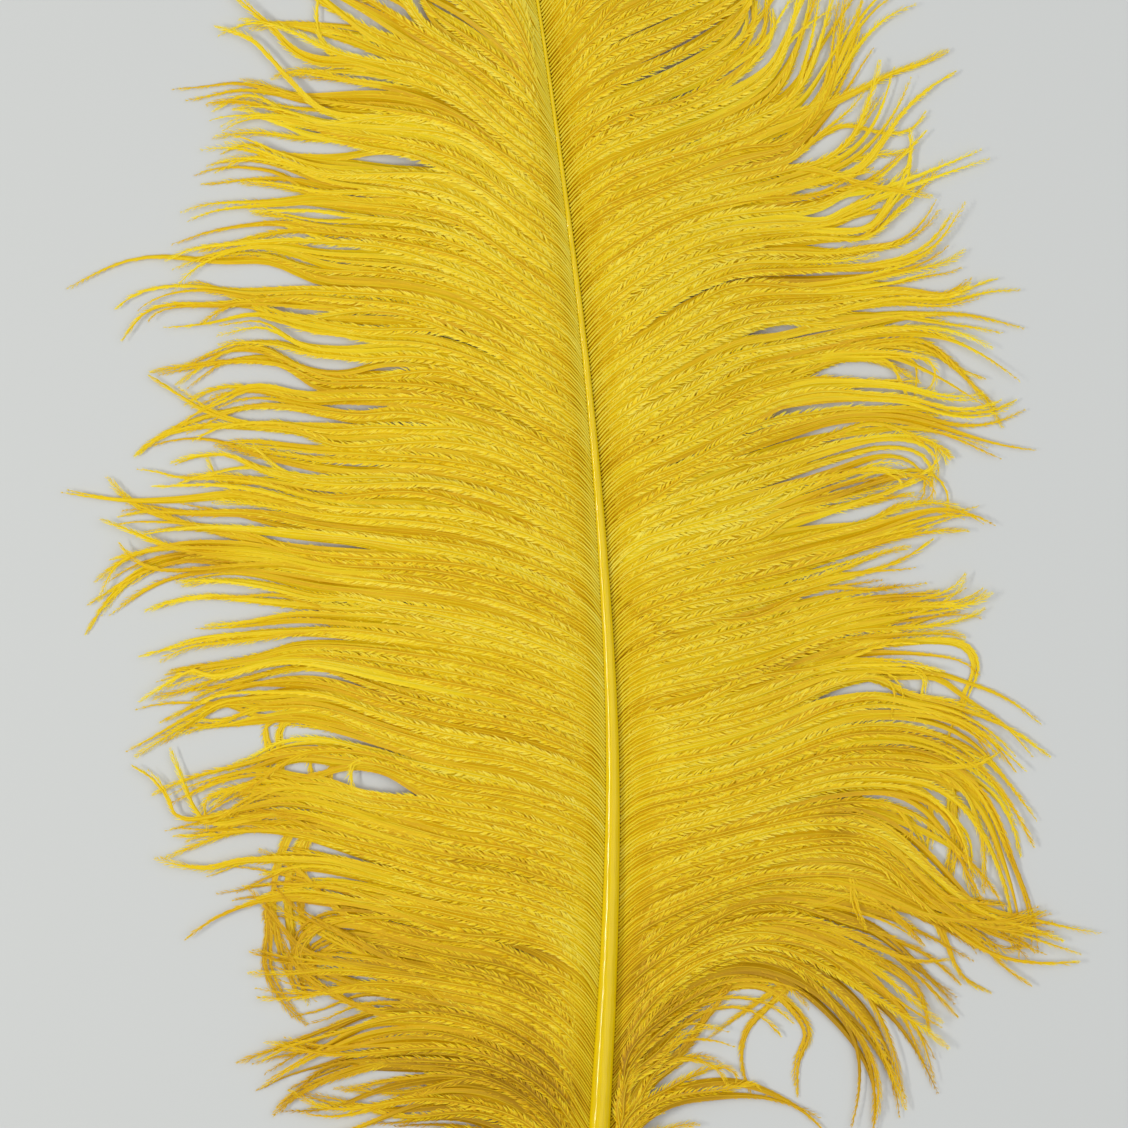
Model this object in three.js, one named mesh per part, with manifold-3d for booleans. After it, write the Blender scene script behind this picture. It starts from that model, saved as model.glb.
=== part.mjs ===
// A dyed ostrich plume, lying flat: one shaft with the quill at its lower end, and the locks of
// barbs that grow from both sides of it. Millimetres, +Z up, +Y towards the plume's tip.

import * as THREE from 'three';
import Module from 'manifold-3d';

const wasm = await Module();
wasm.setup();

// Driving dimensions. Points are in a plan frame whose zero is on the shaft's left, halfway along
// the covered stretch. The last step moves the plume so that its box stands centred on the origin.
const quillEndY = -206;
const shaftTipY = 203;
const shaftHeightShare = 0.92;
const shaftSides = 10;
const shaftRings = 26;
const quillFlatLength = 34;
const lockSegments = 9;
const stationCrowding = 1.25;
const latestParting = 6;
const closestNeighbour = 0.4;
const farthestNeighbour = 2.4;
const lockFullness = 0.9;
const partedFullness = 0.42;
const lockTaper = 0.7;
const lockTipWidth = 0.9;
const wallShare = 0.5;
const rootInset = 0.2;
const rootDrop = 0.3;
const rootRidge = 0.35;
const lockThickness = 1.5;
const lockTipThickness = 0.8;
const lockArch = 3.2;
const lockLandsAt = 0.7;
const leavingOut = 2.2;
const leavingUp = 4.2;
const sliverSize = 0.05;
const planCentre = { x: 1.8, y: 17 };

// The shaft's middle line in plan: how far along, how far to the right, its width and the height
// of its middle above the surface that the plume lies on.
const shaftStations = [
  [-206, 5.2, 2.2, 1.0],
  [-203, 5.35, 3.6, 1.66],
  [-197, 5.6, 4.8, 2.2],
  [-186, 6.2, 5.5, 2.53],
  [-172, 7.1, 5.6, 2.57],
  [-141, 8.75, 5.4, 3.3],
  [-94, 11.25, 4.4, 4.6],
  [-47, 12.0, 3.4, 5.6],
  [0, 9.75, 2.5, 6.0],
  [47, 5.75, 1.75, 5.8],
  [94, 0, 1.25, 5.0],
  [141, -6.75, 0.95, 3.9],
  [180, -13.4, 0.8, 2.6],
  [203, -17.6, 0.7, 1.5],
];

// Each lock: how far along the shaft it grows, then the points that its middle passes, out to
// its tip. Listed from the plume's tip to the quill.
const leftLocks = [
  [186, [-23, 203], [-33, 219], [-45, 231]],
  [176, [-22, 194], [-38, 212], [-56, 222], [-70, 224]],
  [166, [-22, 185], [-40, 202], [-61, 210], [-80, 208]],
  [154, [-20, 172], [-37, 189], [-60, 198], [-86, 193]],
  [142, [-18, 160], [-35, 176], [-58, 184], [-90, 176]],
  [130, [-15, 148], [-30, 163], [-50, 171], [-82, 164]],
  [118, [-13, 136], [-26, 151], [-44, 159], [-72, 156]],
  [106, [-12, 123], [-25, 136], [-36, 147], [-54, 153], [-82, 145]],
  [95, [-13, 110], [-27, 122], [-42, 131], [-58, 135], [-74, 137], [-88, 134]],
  [86, [-13, 100], [-28, 111], [-42, 120], [-56, 125], [-68, 127], [-87, 133]],
  [78, [-14, 91], [-28, 102], [-42, 112], [-56, 115], [-68, 116], [-82, 121.5], [-101, 123]],
  [70, [-14, 83], [-28, 94], [-44, 104], [-60, 109], [-74, 112], [-86, 110], [-100.5, 101]],
  [62, [-14, 74], [-28, 84], [-44, 94], [-62, 102], [-78, 105], [-88, 101], [-96, 94.5]],
  [54, [-14, 66], [-28, 76], [-44, 85], [-60, 90.5], [-76, 91.5], [-96, 88]],
  [47, [-14, 59], [-28, 68], [-44, 77], [-60, 84], [-75, 86.5], [-88, 86.5], [-100, 82.5]],
  [40, [-14, 51], [-28, 60], [-44, 69], [-60, 76], [-76, 80], [-90, 77], [-101, 71]],
  [33, [-14, 44], [-28, 53], [-44, 61], [-60, 66], [-78, 68], [-96, 69], [-109, 68], [-121, 57]],
  [25, [-14, 36], [-28, 43], [-44, 50], [-60, 55], [-72, 59], [-84, 59], [-98, 55]],
  [17, [-14, 27], [-28, 34], [-44, 40], [-60, 45], [-75, 47.5], [-90, 44.5], [-104, 40.5]],
  [9, [-14, 19], [-28, 25], [-44, 31], [-60, 36], [-76, 38], [-88, 36], [-98, 30.5], [-108, 23.5]],
  [2, [-14, 11], [-28, 16], [-44, 21], [-60, 25], [-76, 29], [-90, 29], [-107, 20.5]],
  [-5, [-14, 3], [-28, 8], [-44, 12], [-60, 16], [-78, 19], [-92, 20], [-104, 19.5], [-126, 26]],
  [-12, [-14, -4], [-28, 1], [-44, 5], [-60, 8], [-78, 8.5], [-97, 8.5], [-109, 8], [-119, 2.5], [-124.5, -8.5]],
  [-20, [-14, -12], [-28, -8], [-44, -4], [-60, -1.5], [-78, 0.5], [-95, 0], [-107, -3], [-119.5, -11.5]],
  [-27, [-14, -19], [-28, -15], [-44, -11], [-60, -7], [-78, -4], [-92, -4.5], [-104, -8], [-112, -12.5]],
  [-34, [-14, -27], [-28, -23], [-44, -18], [-62, -14.5], [-78, -14.5], [-92, -16], [-108, -19.5]],
  [-42, [-14, -35], [-28, -31], [-44, -26], [-62, -21.5], [-76, -22.5], [-90, -25], [-106, -28]],
  [-50, [-14, -43], [-30, -39], [-46, -33], [-60, -29], [-74, -28], [-86, -30], [-99, -36]],
  [-58, [-14, -51], [-30, -48], [-46, -42], [-60, -38], [-74, -37], [-88, -40], [-100, -43.5], [-112, -50.5]],
  [-68, [-12, -61], [-28, -59], [-42, -52], [-56, -47], [-70, -47], [-80, -50.5], [-90, -57], [-99, -64.5]],
  [-80, [-8, -74], [-24, -71], [-38, -71.5], [-52, -70], [-66, -66], [-80, -64.5], [-90, -66.5], [-101, -69.5]],
  [-89, [-8, -82], [-24, -79], [-40, -78], [-56, -76], [-70, -72.5], [-80, -74], [-90, -77.5], [-102, -78]],
  [-98, [-8, -90], [-24, -87], [-40, -86], [-56, -84], [-70, -83], [-80, -85], [-88, -89], [-94, -94]],
  [-107, [-7, -98], [-22, -95], [-38, -95], [-52, -95.5], [-63, -97], [-68, -104], [-64, -114]],
  [-116, [-5, -105], [-18, -101.5], [-34, -102], [-50, -103], [-66, -101], [-79, -96.5]],
  [-126, [-3, -113], [-16, -108], [-32, -108.5], [-48, -113], [-62, -119], [-74, -123], [-85, -126]],
  [-137, [-2, -122], [-14, -116], [-30, -117], [-46, -121], [-60, -126], [-68, -134]],
  [-149, [-3, -134], [-14, -127], [-28, -126], [-44, -131], [-60, -135], [-75, -129.5]],
  [-160, [-3, -147], [-13, -139], [-28, -137], [-45, -138], [-67, -139.5]],
  [-169, [-2, -158], [-11, -152], [-25, -151], [-40, -156], [-52, -163]],
];
const rightLocks = [
  [194, [-17, 208], [-17, 223], [-18, 240]],
  [182, [-7, 201], [1, 216], [10, 227], [22, 235]],
  [168, [-4, 186], [9, 202], [25, 215], [44, 223]],
  [156, [0, 173], [15, 188], [34, 201], [56, 210]],
  [144, [4, 159], [21, 172], [41, 185], [64, 198]],
  [132, [7, 146], [26, 157], [45, 169], [60, 181], [72, 195]],
  [120, [10, 133], [28, 143], [46, 154], [60, 167], [70, 182]],
  [108, [10, 119], [28, 128], [42, 138], [51, 150], [58, 166]],
  [97, [10, 107], [28, 114], [42, 121], [49, 130], [51, 141], [54, 153]],
  [88, [10, 98], [28, 104], [43, 111], [54, 122], [60, 134], [65, 152]],
  [79, [10, 88], [28, 94], [46, 100], [60, 109], [69, 121], [75, 133], [86, 147]],
  [70, [11, 79], [28, 87], [46, 93], [60, 99], [71, 107], [78, 117], [83, 128]],
  [62, [11, 71], [29, 80], [47, 86], [63, 91], [77, 95], [90, 98], [96, 105.5]],
  [54, [12, 63], [30, 72], [48, 79], [64, 82], [77, 82], [87, 88], [95, 99], [105, 107]],
  [47, [12, 56], [30, 65], [48, 73], [64, 76.5], [80, 78], [90, 82], [99, 92]],
  [40, [13, 49], [30, 57], [48, 66], [66, 71], [84, 73], [95, 76], [103, 86]],
  [32, [13, 41], [30, 49], [48, 58], [66, 65], [84, 67], [97, 66.5], [106, 70.5], [115, 72]],
  [24, [14, 33], [30, 40], [48, 49], [66, 57], [84, 61], [98, 61.5], [111, 59.5]],
  [16, [14, 25], [32, 32], [50, 41], [68, 50], [82, 50.5], [97, 51], [107, 49], [116, 41]],
  [8, [15, 16], [32, 23], [50, 31], [68, 38], [84, 40.5], [98, 37], [108, 39], [115, 46]],
  [1, [15, 9], [32, 15], [50, 22], [68, 30], [84, 35], [100, 34], [110, 32], [119, 31.5]],
  [-6, [16, 2], [34, 6], [52, 12], [68, 20], [82, 27], [92, 26], [93, 20], [88, 16]],
  [-13, [16, -5], [34, -1], [52, 4], [70, 8], [84, 13], [94, 16], [102, 14.5], [109, 9.5]],
  [-20, [17, -13], [34, -9], [52, -4], [70, 0], [84, 4], [92, 6]],
  [-28, [17, -21], [34, -17], [52, -13], [70, -9.5], [86, -8.5], [97, -7], [104, -5]],
  [-35, [17, -28], [34, -24], [52, -19], [70, -15], [86, -13], [98, -11.5], [105, -8], [110, 0]],
  [-42, [18, -35], [36, -31], [54, -25], [72, -20], [88, -18.5], [98, -19], [105, -24]],
  [-49, [18, -42], [36, -39], [54, -35], [72, -32], [86, -32.5], [98, -36], [110, -43], [117, -50], [121, -56]],
  [-57, [18, -50], [36, -48], [54, -44], [72, -41], [86, -41], [98, -45], [107, -50], [117, -62]],
  [-65, [18, -58], [36, -56], [54, -53], [72, -50], [88, -51], [101, -53], [109, -60], [115, -67], [118.5, -74]],
  [-73, [18, -66], [36, -64], [54, -60], [70, -58], [84, -59], [95, -66], [105, -77], [112, -88], [113.5, -103]],
  [-81, [18, -74], [35, -71], [52, -67], [66, -68], [78, -74], [89, -82], [99, -89], [111, -92], [126, -87]],
  [-89, [18, -82], [34, -79], [50, -76], [64, -78], [78, -85], [91, -91], [103, -94], [116, -96], [129.5, -104]],
  [-97, [17, -90], [31, -85], [46, -83.5], [61, -87], [75, -93], [87, -101], [102.5, -111]],
  [-106, [17, -98], [29, -92], [43, -90.5], [57, -94], [70, -101], [82, -108], [98.5, -115]],
  [-115, [17, -107], [27, -99], [40, -95], [54, -98], [67, -105], [77, -116], [84, -126], [87, -138]],
  [-125, [16, -117], [25, -108], [37, -102], [50, -101], [61, -107], [69, -118], [73, -131], [73, -147]],
  [-137, [15, -129], [22, -120], [31, -112], [43, -104]],
  [-149, [14, -141], [21, -132], [32, -131], [47, -132], [60, -135], [74, -148]],
  [-161, [13, -154], [19, -149], [30, -148], [42, -155]],
];

function stationSpline(column) {
  return (along) => {
    const last = shaftStations.length - 1;
    let i = 0;
    while (i < last - 1 && along > shaftStations[i + 1][0]) {
      i += 1;
    }
    const [from, to] = [shaftStations[i], shaftStations[i + 1]];
    const span = to[0] - from[0];
    const before = shaftStations[Math.max(i - 1, 0)];
    const after = shaftStations[Math.min(i + 2, last)];
    const slopeFrom = (to[column] - before[column]) / (to[0] - before[0]);
    const slopeTo = (after[column] - from[column]) / (after[0] - from[0]);
    const t = THREE.MathUtils.clamp((along - from[0]) / span, 0, 1);
    const [t2, t3] = [t * t, t * t * t];
    return (
      (2 * t3 - 3 * t2 + 1) * from[column] +
      (t3 - 2 * t2 + t) * span * slopeFrom +
      (3 * t2 - 2 * t3) * to[column] +
      (t3 - t2) * span * slopeTo
    );
  };
}

const shaftX = stationSpline(1);
const shaftWidth = stationSpline(2);
const shaftMiddleZ = stationSpline(3);

// A closed solid through rings of points, each ring clockwise as seen against the run. The
// two halves of a ring are divided into mirrored triangles, so that the walls of two neighbouring
// locks match face to face.
function solidThroughRings(rings) {
  const sides = rings[0].length;
  const vertices = rings.flat().flatMap((point) => [point.x, point.y, point.z]);
  const triangles = [];
  for (let i = 0; i < rings.length - 1; i += 1) {
    for (let j = 0; j < sides; j += 1) {
      const a = i * sides + j;
      const b = i * sides + ((j + 1) % sides);
      if (j < sides / 2) {
        triangles.push(a, a + sides, b, b, a + sides, b + sides);
      } else {
        triangles.push(a, a + sides, b + sides, a, b + sides, b);
      }
    }
  }
  const end = (rings.length - 1) * sides;
  for (let j = 1; j < sides - 1; j += 1) {
    triangles.push(0, j, j + 1);
    triangles.push(end, end + j + 1, end + j);
  }
  const mesh = new wasm.Mesh({
    numProp: 3,
    vertProperties: new Float32Array(vertices),
    triVerts: new Uint32Array(triangles),
  });
  return new wasm.Manifold(mesh);
}

// The shaft is nearly round, with a narrow flat under the quill where it lies on the surface.
function makeShaft() {
  const rings = [];
  const ends = shaftStations.slice(0, 4).map((station) => station[0]);
  const alongs = [...ends];
  const firstEven = ends[ends.length - 1];
  for (let i = 1; i <= shaftRings; i += 1) {
    alongs.push(THREE.MathUtils.lerp(firstEven, shaftTipY, i / shaftRings));
  }
  for (const along of alongs) {
    const radius = shaftWidth(along) / 2;
    const ring = [];
    for (let j = 0; j < shaftSides; j += 1) {
      const angle = ((j + 0.5) / shaftSides) * Math.PI * 2 + Math.PI / 2;
      const x = shaftX(along) + radius * Math.cos(angle);
      const z = shaftMiddleZ(along) + radius * shaftHeightShare * Math.sin(angle);
      const onFlat = along < quillEndY + quillFlatLength + 1 && z < shaftMiddleZ(along) - radius * 0.8;
      ring.push(new THREE.Vector3(x, along, onFlat ? 0 : z));
    }
    rings.push(ring);
  }
  return solidThroughRings(rings);
}

// The stations of a lock's middle line. It leaves the shaft towards the plume's tip, rises a
// little, comes down and lies on the surface for its outer part.
function lockStations(lock, side) {
  const [rootY, ...passes] = lock;
  const shaftRadius = shaftWidth(rootY) / 2;
  const rootX = shaftX(rootY) + side * shaftRadius * rootInset;
  const root = new THREE.Vector3(rootX, rootY, 0);
  const leaving = new THREE.Vector3(rootX + side * leavingOut, rootY + leavingUp, 0);
  const points = passes.map(([x, y]) => new THREE.Vector3(x, y, 0));
  const middle = new THREE.CatmullRomCurve3([root, leaving, ...points], false, 'centripetal');
  const rootZ = shaftMiddleZ(rootY) - shaftRadius * rootDrop;
  const stations = [];
  for (let i = 0; i <= lockSegments; i += 1) {
    const share = (i / lockSegments) ** stationCrowding;
    const at = middle.getPointAt(share);
    const heading = middle.getTangentAt(share);
    const landed = Math.min(share / lockLandsAt, 1);
    at.z = rootZ * (1 - THREE.MathUtils.smoothstep(landed, 0, 1));
    at.z += lockArch * Math.sin(landed * Math.PI) * (1 - landed);
    stations.push({
      at,
      share,
      across: new THREE.Vector3(-heading.y, heading.x, 0).multiplyScalar(side),
      ridge: i === 0 ? rootRidge : THREE.MathUtils.lerp(lockThickness, lockTipThickness, share),
    });
  }
  return stations;
}

// Two neighbouring locks lie edge to edge from the shaft out to where they part. They part where
// they would crowd or spread too far from the pitch of their roots, or at the latest station.
function partingStation(lock, next, pitch) {
  let parting = 0;
  while (parting < latestParting) {
    const apart = lock[parting + 1].at.distanceTo(next[parting + 1].at);
    if (apart < pitch * closestNeighbour || apart > pitch * farthestNeighbour) {
      break;
    }
    parting += 1;
  }
  return parting;
}

// A lock is a long tongue with a flat underside, low side walls and a ridge along its middle.
// Where it lies against a neighbour, their common edge is halfway between their middles.
function lockRings(stations, before, after, pitch) {
  return stations.map((station, i) => {
    const freeHalf = (pitch * lockFullness * (1 - station.share) ** lockTaper + lockTipWidth) / 2;
    const edge = (neighbour, direction) => {
      const other = neighbour ? neighbour.stations[i] : null;
      const common = other !== null && i <= neighbour.parting;
      const room = other ? station.at.distanceTo(other.at) * partedFullness : freeHalf;
      const halfWidth = Math.max(Math.min(freeHalf, room), lockTipWidth / 2);
      const foot = common
        ? station.at.clone().add(other.at).multiplyScalar(0.5)
        : station.at.clone().addScaledVector(station.across, direction * halfWidth);
      return [foot, new THREE.Vector3(foot.x, foot.y, foot.z + station.ridge * wallShare)];
    };
    const [lowFoot, lowTop] = edge(after, -1);
    const [highFoot, highTop] = edge(before, 1);
    const crest = new THREE.Vector3(station.at.x, station.at.y, station.at.z + station.ridge);
    return [lowFoot, lowTop, crest, highTop, highFoot];
  });
}

function makeLocks(locks, side) {
  const stations = locks.map((lock) => lockStations(lock, side));
  const pitches = locks.slice(1).map((lock, i) => locks[i][0] - lock[0]);
  const partings = pitches.map((pitch, i) => partingStation(stations[i], stations[i + 1], pitch));
  return locks.map((lock, i) => {
    const before = i > 0 && { stations: stations[i - 1], parting: partings[i - 1] };
    const after = i < locks.length - 1 && { stations: stations[i + 1], parting: partings[i] };
    const pitch = pitches[Math.min(i, pitches.length - 1)];
    const rings = lockRings(stations[i], before, after, pitch);
    return solidThroughRings(side > 0 ? rings : rings.map((ring) => ring.reverse()));
  });
}

function makeFeather() {
  const join = (whole, piece) => whole.add(piece);
  const leftVane = makeLocks(leftLocks, -1).reduce(join);
  const rightVane = makeLocks(rightLocks, 1).reduce(join);
  const solid = makeShaft().add(leftVane).add(rightVane);
  const { vertProperties, triVerts } = solid.asOriginal().simplify(sliverSize).getMesh();
  const geometry = new THREE.BufferGeometry();
  geometry.setAttribute('position', new THREE.BufferAttribute(vertProperties, 3));
  geometry.setIndex(new THREE.BufferAttribute(triVerts, 1));
  geometry.translate(-planCentre.x, -planCentre.y, 0);
  geometry.computeVertexNormals();
  const dyedBarbs = new THREE.MeshStandardMaterial({ color: 0xe5c21a, roughness: 0.7, metalness: 0 });
  const feather = new THREE.Mesh(geometry, dyedBarbs);
  feather.name = 'feather';
  return feather;
}

const plume = new THREE.Group();
plume.add(makeFeather());
export default plume;
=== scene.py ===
# A dyed yellow ostrich plume, lying on its underside and seen from straight above.
from math import pi, radians

import bmesh
import bpy
import numpy as np
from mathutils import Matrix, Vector


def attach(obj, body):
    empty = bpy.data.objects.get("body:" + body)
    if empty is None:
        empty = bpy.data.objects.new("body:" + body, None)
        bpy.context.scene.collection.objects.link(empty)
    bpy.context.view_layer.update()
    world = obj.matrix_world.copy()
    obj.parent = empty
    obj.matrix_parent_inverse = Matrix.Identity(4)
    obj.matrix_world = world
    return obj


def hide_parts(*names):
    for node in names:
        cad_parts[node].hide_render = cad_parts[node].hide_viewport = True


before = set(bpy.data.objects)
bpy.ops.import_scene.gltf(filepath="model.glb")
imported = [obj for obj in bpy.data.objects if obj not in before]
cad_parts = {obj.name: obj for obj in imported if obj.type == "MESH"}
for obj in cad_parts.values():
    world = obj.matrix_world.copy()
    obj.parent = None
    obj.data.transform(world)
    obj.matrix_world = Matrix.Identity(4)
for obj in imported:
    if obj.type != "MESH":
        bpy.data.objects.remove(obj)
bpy.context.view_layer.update()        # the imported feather: metres, +Y towards the plume's tip, +Z up
bpy.ops.object.select_all(action="DESELECT")
print("frame loaded")

mm = 0.001
planCentre = np.array([1.8, 17.0])      # the box's middle, in the plan that the points below are read in


# small helpers

def linear(hexCode):
    values = [int(hexCode[i:i + 2], 16) / 255 for i in (1, 3, 5)]
    return [v / 12.92 if v <= 0.04045 else ((v + 0.055) / 1.055) ** 2.4 for v in values] + [1.0]


def addNode(material, kind, settings=None, links=None):
    tree = material.node_tree
    node = tree.nodes.new(kind)
    for key, value in (settings or {}).items():
        if isinstance(key, str) and hasattr(node, key):
            setattr(node, key, value)
        else:
            node.inputs[key].default_value = value
    for key, (source, output) in (links or {}).items():
        tree.links.new(source.outputs[output], node.inputs[key])
    return node


def newMaterial(name):
    material = bpy.data.materials.new(name)
    material.use_nodes = True
    material.node_tree.nodes.clear()
    return material


def eased(t):
    t = np.clip(t, 0.0, 1.0)
    return t * t * (3.0 - 2.0 * t)


def between(a, b, t):
    return a + (b - a) * t


def unit(v):
    return v / np.maximum(np.linalg.norm(v, axis=-1, keepdims=True), 1e-9)


# camera, light and floor

view = {
    "height": 0.75,         # metres above the paper, looking straight down
    "shown": 0.282,         # metres, side of the square in view
    "sensor": 36.0,         # mm
}
bpy.ops.object.camera_add(location=(-planCentre[0] * mm, -planCentre[1] * mm, view["height"]))
camera = bpy.context.object
camera.name = "camera"
camera.data.sensor_width = view["sensor"]
camera.data.lens = view["sensor"] * view["height"] / view["shown"]
bpy.context.scene.camera = camera

studio = {
    # places and sizes in metres. The key is long and narrow, so its gleam runs down most of the shaft
    "key": {"place": (-0.95, -0.15, 0.8), "long": 0.55, "wide": 0.14, "watts": 7.8, "colour": "#FFFDF6"},
    "fill": {"place": (0.30, 0.05, 0.78), "long": 1.2, "wide": 1.2, "watts": 4.2, "colour": "#FFFFFF"},
    "skyColour": "#F8F9FB", "sky": 0.6,
    "floorSize": 3.0, "floorBelow": 0.0002,     # a hair under the plume, so that nothing flickers
    "floorColour": "#BBBDBC", "floorRoughness": 0.9, "floorSpecular": 0.2,
}
for lightName in ("key", "fill"):
    lamp = studio[lightName]
    aim = Vector((0, 0, 0)) - Vector(lamp["place"])
    turned = aim.to_track_quat("-Z", "Y").to_euler()
    bpy.ops.object.light_add(type="AREA", location=lamp["place"], rotation=turned)
    light = bpy.context.object
    light.name = lightName
    light.data.shape = "ELLIPSE"
    light.data.size = lamp["long"]
    light.data.size_y = lamp["wide"]
    light.data.energy = lamp["watts"]
    light.data.color = linear(lamp["colour"])[:3]

world = bpy.data.worlds.new("studio")
world.use_nodes = True
background = world.node_tree.nodes["Background"]
background.inputs["Color"].default_value = linear(studio["skyColour"])
background.inputs["Strength"].default_value = studio["sky"]
bpy.context.scene.world = world
bpy.context.scene.view_settings.view_transform = "Standard"

bpy.ops.mesh.primitive_plane_add(size=studio["floorSize"], location=(0, 0, -studio["floorBelow"]))
floor = bpy.context.object
floor.name = "floor"
floorPaper = newMaterial("uncoatedPaper")        # plain and matt, so only soft shadows show on it
paperShader = addNode(floorPaper, "ShaderNodeBsdfPrincipled",
                      {"Base Color": linear(studio["floorColour"]), "Roughness": studio["floorRoughness"],
                       "Specular IOR Level": studio["floorSpecular"]})
addNode(floorPaper, "ShaderNodeOutputMaterial", links={"Surface": (paperShader, "BSDF")})
floor.data.materials.append(floorPaper)
print("camera, light and floor made")


# materials

keratin = {
    "colour": "#D4B602", "streakColour": "#B89802", "quillColour": "#E8D64A",
    "roughness": 0.1, "ior": 1.54, "specular": 0.22,
    "streakWidth": 0.25,        # mm across, grain that runs along the shaft
    "streakStretch": 0.02,      # the grain is fifty times as long as wide
    "streakDepth": 0.1, "streakRelief": 0.12,
    "ripple": 6.0,              # mm between the faint swellings that break its gloss
    "rippleDepth": 0.35,        # mm
    "quillFrom": -171.0, "quillTo": -196.0,     # plan mm, where the paler bare quill sets in
}


def dyedKeratin():
    # smooth horn of the shaft, dyed through: a wet looking gloss and faint streaks along it
    material = newMaterial("dyedKeratin")
    place = addNode(material, "ShaderNodeTexCoord")
    grain = 1.0 / (keratin["streakWidth"] * mm)
    run = addNode(material, "ShaderNodeMapping", {"Scale": (grain, grain * keratin["streakStretch"], grain)},
                  {"Vector": (place, "Object")})
    streaks = addNode(material, "ShaderNodeTexNoise", {"Scale": 1.0, "Detail": 2.0},
                      {"Vector": (run, "Vector")})
    streakMix = addNode(material, "ShaderNodeMapRange", {"From Min": 0.45, "From Max": 0.75, "To Max": 0.5},
                        {"Value": (streaks, "Fac")})
    horn, streak = linear(keratin["colour"]), linear(keratin["streakColour"])
    streaked = addNode(material, "ShaderNodeMix", {"data_type": "RGBA", 6: horn, 7: streak},
                       {0: (streakMix, "Result")})
    apart = addNode(material, "ShaderNodeSeparateXYZ", links={"Vector": (place, "Object")})
    quill = addNode(material, "ShaderNodeMapRange",
                    {"From Min": (keratin["quillFrom"] - planCentre[1]) * mm,
                     "From Max": (keratin["quillTo"] - planCentre[1]) * mm}, {"Value": (apart, "Y")})
    colour = addNode(material, "ShaderNodeMix", {"data_type": "RGBA", 7: linear(keratin["quillColour"])},
                     {0: (quill, "Result"), 6: (streaked, 2)})
    ripples = addNode(material, "ShaderNodeTexNoise",
                      {"Scale": 1.0 / (keratin["ripple"] * mm), "Detail": 1.0},
                      {"Vector": (place, "Object")})
    swell = addNode(material, "ShaderNodeBump", {"Strength": 1.0, "Distance": keratin["rippleDepth"] * mm},
                    {"Height": (ripples, "Fac")})
    bump = addNode(material, "ShaderNodeBump",
                   {"Strength": keratin["streakRelief"], "Distance": keratin["streakDepth"] * mm},
                   {"Height": (streaks, "Fac"), "Normal": (swell, "Normal")})
    shader = addNode(material, "ShaderNodeBsdfPrincipled",
                     {"Roughness": keratin["roughness"], "IOR": keratin["ior"],
                      "Specular IOR Level": keratin["specular"]},
                     {"Base Color": (colour, 2), "Normal": (bump, "Normal")})
    addNode(material, "ShaderNodeOutputMaterial", links={"Surface": (shader, "BSDF")})
    return material


down = {
    "shades": [(0.0, "#B88C00"), (0.25, "#E4B804"), (0.55, "#F7E016"), (1.0, "#FBF26A")],
    "roughness": 0.5, "ior": 1.54, "specular": 0.28,
    "through": 0.38,            # share of the light that comes through
    "patch": 24.0,              # mm, how far the dye's slow changes of shade reach
    "streakLong": 7.0, "streakWide": 0.22,      # mm, the silky grain along a barb
    "patchShare": 0.2, "streakShare": 0.38,     # how far each moves the shade
}


def dyedDown():
    # soft barbs and barbules: matt with a silky sheen, light comes through them, and the dye lies
    # unevenly; the tone also carries painted shade in the hollows and painted highlight on the crests
    material = newMaterial("dyedDown")
    place = addNode(material, "ShaderNodeTexCoord")
    tone = addNode(material, "ShaderNodeAttribute", {"attribute_name": "tone"})
    patches = addNode(material, "ShaderNodeTexNoise", {"Scale": 1.0 / (down["patch"] * mm), "Detail": 3.0},
                      {"Vector": (place, "Object")})
    patchShade = addNode(material, "ShaderNodeMath",
                         {"operation": "MULTIPLY_ADD", 1: down["patchShare"], 2: -down["patchShare"] / 2},
                         {0: (patches, "Fac")})
    along = addNode(material, "ShaderNodeMapping",
                    {"Scale": (1.0 / down["streakLong"], 1.0 / down["streakWide"], 1.0)},
                    {"Vector": (place, "UV")})
    streaks = addNode(material, "ShaderNodeTexNoise", {"Scale": 1.0, "Detail": 2.0},
                      {"Vector": (along, "Vector")})
    streakShade = addNode(material, "ShaderNodeMath",
                          {"operation": "MULTIPLY_ADD", 1: down["streakShare"], 2: -down["streakShare"] / 2},
                          {0: (streaks, "Fac")})
    slow = addNode(material, "ShaderNodeMath", {"operation": "ADD"}, {0: (tone, "Fac"), 1: (patchShade, 0)})
    total = addNode(material, "ShaderNodeMath", {"operation": "ADD"}, {0: (slow, 0), 1: (streakShade, 0)})
    ramp = addNode(material, "ShaderNodeValToRGB", links={"Fac": (total, 0)})
    stops = ramp.color_ramp.elements
    stops[0].color = linear(down["shades"][0][1])
    stops[1].color = linear(down["shades"][-1][1])
    for where, hexCode in down["shades"][1:-1]:
        stops.new(where).color = linear(hexCode)
    shader = addNode(material, "ShaderNodeBsdfPrincipled",
                     {"Roughness": down["roughness"], "IOR": down["ior"],
                      "Specular IOR Level": down["specular"]},
                     {"Base Color": (ramp, "Color")})
    through = addNode(material, "ShaderNodeBsdfTranslucent", links={"Color": (ramp, "Color")})
    both = addNode(material, "ShaderNodeMixShader", {0: down["through"]},
                   {1: (shader, "BSDF"), 2: (through, "BSDF")})
    addNode(material, "ShaderNodeOutputMaterial", links={"Surface": (both, "Shader")})
    return material


shaftMaterial = dyedKeratin()
barbMaterial = dyedDown()
print("materials made")


# the shaft: along, across, width and height of its middle above the paper, in plan mm

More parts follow.
